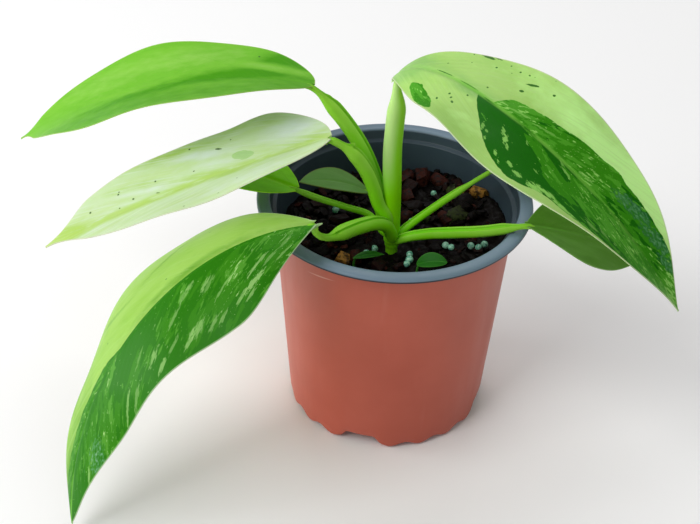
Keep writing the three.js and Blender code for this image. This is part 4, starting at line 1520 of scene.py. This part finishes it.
BLADE_C = Blade(
    "c", Slot.VARIEGATED, (-29.6, -45, 114.9), 166.4, heading=194.2, climb=3.6, droop=89.6, left=29.5,
    right=28.9, widest=0.26, shoulder=0.95, taper=0.9, sweep=45, late=0.79, roll=-5.2, twist=27,
    fold=(-5.3, 2.1), curl=-0.21, wave=1.7, phase=(0, 0.15), lobes=(3.2, 1.5), lobe_lift=0.7, rows=210,
    columns=68, ragged=0.6, vein_turn=(44.0, 8.0), dark_left=((0.0, 1.2),),
    dark_right=((0.0, -0.3), (0.48, -0.3), (0.51, -0.02), (0.54, 0.02), (0.57, 0.1), (0.61, 0.13),
        (0.66, 0.16), (0.7, 0.22), (0.75, 0.27), (0.8, 0.33), (0.85, 0.44), (0.9, 0.58), (0.94, 0.92),
        (0.97, 1.2)),
    tone_left=((0.0, 0.5), (0.08, 0.4), (0.16, -0.2), (0.45, -0.4), (0.6, -0.3), (0.72, 0.0), (0.82, 0.1),
        (0.9, -0.2)),
    tone_right=((0.5, 0.3), (0.6, 0.2), (0.64, 0.4), (0.8, 0.4), (0.88, 0.1)),
    tints_and_shading=patches((0.31, -0.76, 20, 1.1, 1.0, -17), (0.52, -0.75, 20, 1.1, 1.0, 15),
        (0.72, -0.9, 40, 3, 0.6, 0), (0.95, -0.9, 30, 6, 1.2, 0), (0.4, -0.88, 50, 4.5, -0.4, 0),
        (0.3, -0.06, 46, 3, 0.7, 0), (0.8, -0.5, 44, 9, 0.6, 0)),
    rib_shows=((0.0, 0.0), (0.84, 0.0), (0.88, 0.9)),
    patches=patches((0.206, 0.38, 7.5, 3.0, 1.3), (0.331, 0.25, 4.5, 1.8, 1.1), (0.25, 0.66, 14, 6, 0.5),
        (0.36, 0.76, 9, 3, 0.6), (0.419, 0.55, 10, 4, 0.5), (0.581, 0.12, 10, 2.0, 0.9),
        (0.512, 0.57, 10, 4, 0.5), (0.681, 0.62, 12, 4.5, 0.5), (0.75, 0.46, 12, 2.6, 0.4)),
    flecks=patches((0.175, 0.72, 6, 0.96, 0.8), (0.15, 0.53, 6.8, 0.56, 0.56),
        (0.165, 0.57, 4.2, 0.4, 0.48), (0.194, 0.82, 3.4, 0.56, 0.56), (0.219, 0.75, 5.1, 0.56, 0.56),
        (0.27, 0.34, 3.8, 0.8, 0.32), (0.275, 0.3, 3.8, 0.64, 0.56), (0.288, 0.82, 3.4, 0.56, 0.48),
        (0.312, 0.8, 3.8, 0.64, 0.48), (0.331, 0.25, 3.4, 0.96, 0.32), (0.31, 0.2, 2.5, 0.72, 0.4),
        (0.35, 0.75, 4.2, 1.2, 0.56), (0.369, 0.75, 2.5, 0.72, 0.72), (0.388, 0.82, 3.4, 0.64, 0.64),
        (0.381, 0.42, 6, 0.64, 0.4), (0.42, 0.72, 3.8, 0.56, 0.4), (0.475, 0.65, 3.8, 0.96, 0.56),
        (0.475, 0.85, 3.4, 0.72, 0.64), (0.606, 0.78, 6.8, 0.56, 0.56), (0.575, 0.85, 6, 0.72, 0.4),
        (0.825, 0.82, 4.2, 0.56, 0.56), (0.5, 0.45, 4.2, 0.48, 0.32), (0.25, 0.5, 5.1, 0.4, 0.4),
        (0.12, 0.6, 5.1, 0.48, 0.4), (0.09, 0.75, 4.2, 0.4, 0.4), (0.07, 0.5, 5.1, 0.48, 0.32)),
    # These patches are painted reflections: a bluish sheen on the blade.
    waxes_and_sheens=patches((0.77, 0.76, 16, 7.0, 0.85), (0.06, 0.6, 8, 5, 0.4), (0.8, 0.35, 14, 4, 0.4)))
BLADE_D = Blade(
    "d", Slot.VARIEGATED, (-2.1, -1.8, 154.5), 156.7, heading=-57.2, climb=63.2, droop=120, left=22.4,
    right=23.8, widest=0.55, shoulder=0.69, taper=0.96, sweep=41, late=0.5, roll=22.4, twist=-19,
    fold=(-15, 23), curl=0.09, wave=1.3, phase=(0.14, 0.52), lobes=(1.5, 3.2), rows=210, columns=68,
    ragged=0.5, vein_turn=(32.0, 8.0),
    dark_left=((0.0, -0.3), (0.34, -0.3), (0.363, 0.0), (0.375, 0.18), (0.39, 0.28), (0.412, 0.32),
        (0.444, 0.35), (0.475, 0.39), (0.519, 0.41), (0.55, 0.47), (0.575, 0.5), (0.625, 0.54),
        (0.656, 0.6), (0.681, 0.64), (0.706, 0.61), (0.731, 0.65), (0.769, 0.68), (0.812, 0.74),
        (0.862, 0.88), (0.894, 0.96), (0.93, 1.2)),
    dark_right=((0.0, -0.3), (0.3, -0.3), (0.317, 0.0), (0.331, 0.15), (0.375, 0.42), (0.406, 0.59),
        (0.431, 0.71), (0.475, 0.83), (0.52, 0.91), (0.55, 0.89), (0.575, 0.82), (0.612, 0.8), (0.65, 0.88),
        (0.7, 0.91), (0.75, 0.96), (0.82, 0.98), (0.88, 1.2)),
    tone_left=((0.0, 0.6), (0.35, 0.8), (0.45, 0.6), (0.6, 0.5), (0.68, 0.5), (0.73, 0.2), (0.88, 0.2),
        (0.92, 1.2), (0.97, 2.4)),
    tone_right=((0.0, -0.9), (0.5, -0.9), (0.58, -0.5), (0.64, -0.1), (0.72, 0.1), (0.85, 0.4), (0.92, 1.2),
        (0.97, 2.4)),
    # These patches darken the green at the base, paint shade along the fold, and paint a highlight by the
    # left margin towards the tip.
    tints_and_shading=patches((0.0, -0.5, 26, 16, 1.0, 0), (0.0, 0.5, 40, 14, 1.3, 0), (0.3, 0.05, 34, 5, 0.5, 0),
        (0.29, -0.1, 12, 3, 0.7, 0), (0.62, 0.9, 22, 3.0, 0.3, 0), (0.72, 0.85, 72, 14, -1.2, 0),
        (0.36, -0.6, 14, 5, -0.3, 0)),
    rib_shows=((0.0, 0.0), (0.1, 0.0), (0.2, 0.4), (0.3, 0.9), (0.6, 0.7), (0.8, 0.4), (0.86, 0.0)),
    islands=patches((0.208, -0.78, 11, 2.7, 1, 24), (0.185, -0.68, 3.0, 1.6, 1, 60)),
    dents=patches((0.19, -1.0, 9, 6, -0.9), (0.32, -1.0, 11, 6, 1.3), (0.46, -1.0, 14, 6, -1.1)),
    patches=patches((0.2, -0.8, 14, 5, 1.5, 24), (0.52, -0.15, 14, 2.6, 1.1), (0.59, -0.42, 9, 2.6, 0.6),
        (0.4, 0.18, 9, 3.0, 0.6), (0.69, -0.28, 18, 4, 0.8), (0.78, -0.2, 18, 3.6, 0.7),
        (0.66, 0.2, 14, 3, 0.4)),
    flecks=patches((0.394, -0.47, 1.5, 0.6, 0.6, 60), (0.435, -0.31, 2.0, 0.6, 0.7, 50),
        (0.452, -0.4, 2.0, 0.9, 0.9, 60), (0.468, -0.48, 1.6, 0.5, 0.8, 40),
        (0.462, -0.7, 1.3, 0.5, 0.8, 50), (0.503, -0.7, 1.4, 0.6, 0.8, 20),
        (0.531, -0.76, 2.0, 0.7, 0.8, 10), (0.42, -0.62, 1.0, 0.4, 0.7, 60),
        (0.41, -0.5, 0.8, 0.4, 0.6, 30), (0.49, -0.2, 1.2, 0.4, 0.6, 30), (0.48, -0.78, 0.9, 0.4, 0.7, 30),
        (0.55, -0.5, 1.2, 0.4, 0.6, 20), (0.573, -0.79, 2.6, 1.2, 1.0, 10),
        (0.592, -0.73, 3.4, 0.9, 1.0, 4), (0.612, -0.72, 2.0, 0.7, 0.8, 20),
        (0.645, -0.82, 4.0, 0.9, 0.9, 6), (0.706, -0.73, 3.0, 0.8, 0.5, 15),
        (0.738, -0.68, 2.4, 0.7, 0.4, 15), (0.575, -0.05, 1.4, 0.5, 0.5, 20),
        (0.592, -0.12, 2.4, 0.6, 0.6, 15), (0.618, 0.09, 2.0, 0.6, 0.5, 10), (0.64, 0.1, 1.5, 0.5, 0.5, 10),
        (0.5, 0.2, 5.0, 0.4, 0.4, 12), (0.43, 0.15, 4.0, 0.4, 0.5, 12), (0.8, -0.5, 5.0, 0.4, 0.5, 8)),
    waxes_and_sheens=patches((0.75, 0.46, 17, 4.2, 1, 8), (0.84, 0.62, 16, 3.8, 1, 8), (0.9, 0.74, 10, 3.0, 1, 8)),
    marks=patches((0.247, 0.97, 3.8, 0.8, 1, 0), (0.397, 0.7, 2.6, 0.5, 1, 24),
        (0.388, 0.5, 0.9, 0.55, 1, 20), (0.205, 0.06, 4.4, 0.22, 1, 0), (0.285, 0.04, 4.6, 0.24, 1, 0),
        (0.27, 0.99, 3.0, 0.3, 1, 0), (0.45, 0.75, 0.6, 0.45), (0.294, 0.72, 0.45, 0.4),
        (0.35, 0.82, 0.45, 0.35), (0.181, 0.42, 0.45, 0.3), (0.306, -0.17, 0.5, 0.35),
        (0.256, -0.6, 0.7, 0.4, 1, 40), (0.269, -0.35, 0.5, 0.5), (0.281, -0.4, 0.45, 0.5),
        (0.294, -0.47, 0.8, 0.45, 1, 30), (0.319, 0.88, 0.35, 0.3), (0.212, 0.95, 0.35, 0.3)))
BLADE_E = Blade(
    "e", Slot.GREEN, (52, -20, 102.3), 62, heading=23, climb=-20, droop=12, left=17, right=17.2,
    widest=0.39, shoulder=0.75, taper=1.1, sweep=-5.5, late=1.1, roll=13.5, twist=13.5, fold=(13, -2.5),
    curl=0.01, wave=0.1, rows=90, columns=36, rib_height=1.0, vein_relief=0.03, crease=3.0,
    rib_shows=((0.0, 0.8), (0.4, 0.15)))
BLADE_F = Blade(
    "f", Slot.GREEN, (-39.5, -8, 105.5), 54, heading=158, climb=6, droop=26, left=12.5, right=12.5,
    widest=0.38, shoulder=0.5, taper=1.05, sweep=-4, late=1.1, roll=-4, fold=(8, 11), wave=0.1,
    phase=(0.4, 0), rows=90, columns=36, rib_height=0.9, vein_relief=0.03, crease=3.0,
    rib_shows=((0.0, 0.7), (0.4, 0.2)))
BLADE_G = Blade(
    "g", Slot.GREEN, (-10.5, 10.3, 93), 33, heading=203, climb=37, droop=33, left=9, right=9, widest=0.42,
    shoulder=0.65, taper=0.85, sweep=5, late=1.1, roll=1, twist=-5, fold=(13, 3), curl=0.02, wave=0.1,
    phase=(0, 0.2), rows=70, columns=32, rib_height=0.8, vein_relief=0.03, crease=2.4,
    rib_shows=((0.0, 0.5), (1.0, 0.2)))
BLADE_H = Blade(
    "h", Slot.GREEN, (37.5, 11, 106), 50, heading=22, climb=22, droop=44, left=12.5, right=12.5, widest=0.4,
    shoulder=0.7, taper=1.1, sweep=6, roll=6, twist=4, fold=(12, 6), curl=0.02, wave=0.2, phase=(0, 0.3),
    rows=90, columns=36, rib_height=0.9, vein_relief=0.06)

STALKS = (
    Stalk(BLADE_D, ((-0.7, -11.4, 89), (-1.0, -10.2, 98), (-1.5, -9, 112.3), (-1.9, -8, 125.7),
                    (-1.5, -7, 136.5), (-1.1, -5.8, 145), (-1.5, -3.8, 150.6)),
          root=7.0, sheath=7.7, until=0.9, stalk=3.6, wing=0.0, opening=(8, 8), heart=(-0.5, -12.2, 84.0),
          under=1.0),
    Stalk(BLADE_A, ((-4.6, -5.4, 91), (-5.6, -4.2, 99), (-13.5, -2.8, 121.5), (-24.2, -1.5, 137.5)),
          root=5, sheath=6.4, until=0.86, stalk=2.6, wing=0.7, tooth=0.5, heart=(-1.6, -9.5, 85.5)),
    Stalk(BLADE_B, ((-2.2, -12.3, 92), (-2.9, -12.4, 97.5), (-6.1, -12.2, 102.7), (-8.7, -12.0, 110.7),
                    (-12.1, -12.2, 118.8), (-16.8, -12.8, 125.9), (-21.4, -13.4, 129.9)),
          root=5, sheath=6.4, until=0.84, stalk=3.4, wing=0.5, tooth=1.8, heart=(-1.2, -12.0, 86.0),
          under=1.5),
    Stalk(BLADE_C, ((-0.9, -14.2, 90.6), (-3.4, -16.8, 96.4), (-7.5, -20.0, 99.3), (-11.5, -23.4, 100.4),
                    (-15.4, -27, 101.2), (-20.5, -33, 102.5), (-23.8, -37, 103.6), (-27.1, -41, 107.0),
                    (-28.9, -43.6, 111.0)),
          root=5.8, sheath=6.4, until=0.66, stalk=3, wing=0.2, tooth=1.0, opening=(12, 10),
          heart=(-0.2, -12.2, 83.5)),
    Stalk(BLADE_E, ((4, -13.4, 88), (13, -13.7, 90.8), (24, -15.2, 93.3), (34.5, -18, 96.6),
                    (43.5, -20.3, 100.2)), root=4.2, sheath=4.8, until=0.84, stalk=2.4, wing=0.3,
          heart=(-0.5, -13.2, 84.5)),
    Stalk(BLADE_H, ((3.6, -9, 88.5), (7.5, -7, 91.3), (19.5, 0.8, 97.2), (28, 6.2, 100.8)),
          root=3.8, sheath=3.4, until=0.7, stalk=2.1, wing=0.1, heart=(0.0, -11.0, 85.5)),
    Stalk(BLADE_F, ((-4.6, -8.4, 87.6), (-9.5, -3.6, 91.2), (-19, -5.6, 96), (-31, -8, 101.5)),
          root=3.0, sheath=2.8, until=0.88, stalk=1.8, wing=0.0, opening=(8, 8), heart=(-1.0, -10.5, 85.0)),
    Stalk(BLADE_G, ((-3, -5, 86.8), (-5, -1, 87.6), (-7.5, 4.5, 89.3)),
          root=2.8, sheath=2.6, until=0.6, stalk=1.8, wing=0.0, opening=(8, 8), heart=(-1.0, -9.5, 84.5)),
)

SEEDLINGS = (
    Seedling("seedling_1", (-14.6, -24.4), Blade(
        "s1", Slot.GREEN, (-15, -24.6, 85.2), 12.5, heading=16, climb=12, droop=26, left=2.2, right=2.2,
        widest=0.45, shoulder=0.8, taper=0.9, late=1.2, rows=36, columns=18, rib_half=(0.5, 0.2),
        rib_height=0.3, groove=0.15, crease=0.4, thickness=(0.4, 0.25), vein_relief=0.02, lobes=(0, 0))),
    Seedling("seedling_2", (10.2, -27.2), Blade(
        "s2", Slot.GREEN, (9.8, -27.3, 85.8), 12, heading=5, climb=20, droop=34, left=5, right=4.2,
        widest=0.5, shoulder=0.55, taper=0.6, late=1.2, rows=36, columns=22, rib_half=(0.5, 0.2),
        rib_height=0.3, groove=0.15, crease=0.4, thickness=(0.4, 0.25), vein_relief=0.03, lobes=(0, 0))),
)

LEAF_SKINS = {
    "a": LeafSkin("lime leaf, waxy cuticle", ground="#68ab2c", deep="#3f8b00", bright="#8cbd55",
        cloud="#73b235", streak="#5fa025", midrib="#519312", margin="#94b554", underside="#84ab4a",
        midrib_half=4.5, cloud_size=(7.0, 50.0), cloud_strength=0.6, streak_strength=0.15, speck_share=0.01),
    # The cream leaf's whitish streaks are painted highlights along its side veins.
    "b": LeafSkin("cream leaf, almost without chlorophyll", ground="#bcd1a4", deep="#a2c261",
        bright="#cbd8cd", cloud="#b5cd8d", streak="#cbd8c9", midrib="#a6c55d", margin="#cbc9b6",
        underside="#c0cda4", midrib_half=3.6, cloud_size=(5.0, 40.0), streak_strength=0.5, dark="#a4c686",
        dark_mid="#a0c282", dark_soft="#a4c682", fleck="#accd8e", mark="#4a6833", speck_share=0.06),
    "c": LeafSkin("variegated leaf, one half in the dark sector", ground="#8db651", deep="#61952d",
        bright="#96bc6d", cloud="#82af42", streak="#96be6a", midrib="#5c9f26", margin="#aec299",
        underside="#9fbf7e", dark="#246c03", dark_mid="#30770b", dark_soft="#488a24", fleck="#8dbb69",
        wax="#90b8a0", wax_shade="#3c8034", midrib_half=0.8, speck_share=0.3),
    "d": LeafSkin("variegated leaf, dark sector towards the tip", ground="#9cc369", deep="#84b25e",
        bright="#baea8e", cloud="#93be5f", streak="#a3c77c", midrib="#6cae3c", margin="#c2c5aa",
        underside="#a8cc84", dark="#125f00", dark_mid="#307e0a", dark_soft="#469220", fleck="#84c058",
        wax="#68a66c", wax_shade="#1e5c2e", midrib_half=1.2, speck_share=0.2),
}
PLAIN_SKIN = LeafSkin("plain green leaf, waxy cuticle", ground="#4b7f1e", deep="#36630b", bright="#6c9c43",
                      cloud="#588c31", streak="#43741a", midrib="#5f9c35", margin="#81a75f",
                      underside="#719c55", speck_share=0.01)
YOUNG_SKINS = {
    "f": LeafSkin("young green leaf", ground="#79cc08", deep="#5aa704", bright="#94df17", cloud="#87db0f",
        streak="#72ba07", midrib="#94db1c", margin="#aae42d", underside="#8ccc25", speck_share=0.01),
    "g": LeafSkin("young green leaf, paler and matt", ground="#5e8f42", deep="#487529", bright="#73a25b",
        cloud="#69964d", streak="#578037", midrib="#6d9b45", margin="#69542d", underside="#6d9e45",
        speck_share=0.01),
}
SEEDLING_SKIN = LeafSkin("seedling leaf", ground="#1c5c10", deep="#14500c", bright="#2c6c1c",
                         cloud="#246814", streak="#145010", midrib="#347420", margin="#40802c",
                         underside="#4c8038", midrib_half=0.4, speck_share=0.0)
# Its channel colour is a little darker than the stalk: painted shade in the groove.
STALK_SKIN = StalkSkin("leaf stalk, smooth waxy skin", lower="#79cd10", upper="#88c43a", channel="#70c410",
                       wing="#9ad250")
# Its pale flank is paler tissue with a painted highlight down the stalk's lit side.
PALE_STALK_SKIN = StalkSkin("leaf stalk with a pale flank", lower="#84d60a", upper="#8ac830",
                            channel="#84d60a", wing="#88c830", pale_lit_flank="#acd27c")
POT_SKIN = PotSheet("terracotta polypropylene, thermoformed", base="#b65844", shade="#a84c38",
                    dust="#d09888", rim="#b65844", rim_radius=60.0, roughness=0.4, specular=0.32,
                    dust_share=0.1,
                    scuff=((-27.0, -39.8, 86.6), (8.0, 3.0, 0.45), (0.0, -8.0, -35.0)))
# The lining is one sheet: its rim top is painted lighter and its inside darker, as painted light and shade,
# with a painted shadow line under the rim.
POT_LINING = PotSheet("blue-grey polypropylene, thermoformed", base="#3a4852", shade="#323f4a",
                      dust="#50606c", rim="#6c8090", roughness=0.34, rim_shadow_line=("#242228", 97.8))
BED_MIX = BarkMix("peat and fine bark, moist", tones=("#080402", "#0e0604"), fibre="#180a05")
BARK = BarkMix("pine bark pieces, moist", tones=("#060302", "#0c0503", "#120704", "#1e0b07", "#36150e",
                                                "#30381a", "#94682c"), fibre="#241209")
PRILL_COAT = PrillCoat("resin-coated fertiliser prills", base="#98ccb0", stain="#48907c")


def main() -> None:
    """Builds every piece in order, then the studio."""
    logging.basicConfig(level=logging.INFO, format="%(name)s: %(message)s")
    pot = NurseryPot()
    pot.build(POT_SKIN.material(), POT_LINING.material())
    mix = GrowingMix(pot)
    mix.build_bed(BED_MIX.material())
    stems = [(-0.3, -12.0, 5.0)] + [(*seedling.foot, 3.0) for seedling in SEEDLINGS]
    mix.build_bark(BARK.material(), stems)
    mix.build_prills(PRILL_COAT.material())

    stalk_skin = STALK_SKIN.material()
    pale_stalk_skin = PALE_STALK_SKIN.material()
    Crown().build(stalk_skin)
    for stalk in STALKS:
        blade = stalk.blade
        stalk.build(pale_stalk_skin if blade is BLADE_D else stalk_skin)
        skin = {**LEAF_SKINS, **YOUNG_SKINS}.get(blade.letter, PLAIN_SKIN)
        blade.build(skin.material(blade), f"leaf_{blade.letter}", [f"blade_{blade.letter}"])
    for seedling in SEEDLINGS:
        seedling.build(SEEDLING_SKIN.material(seedling.blade))
    Studio().build()


if __name__ == "__main__":
    main()
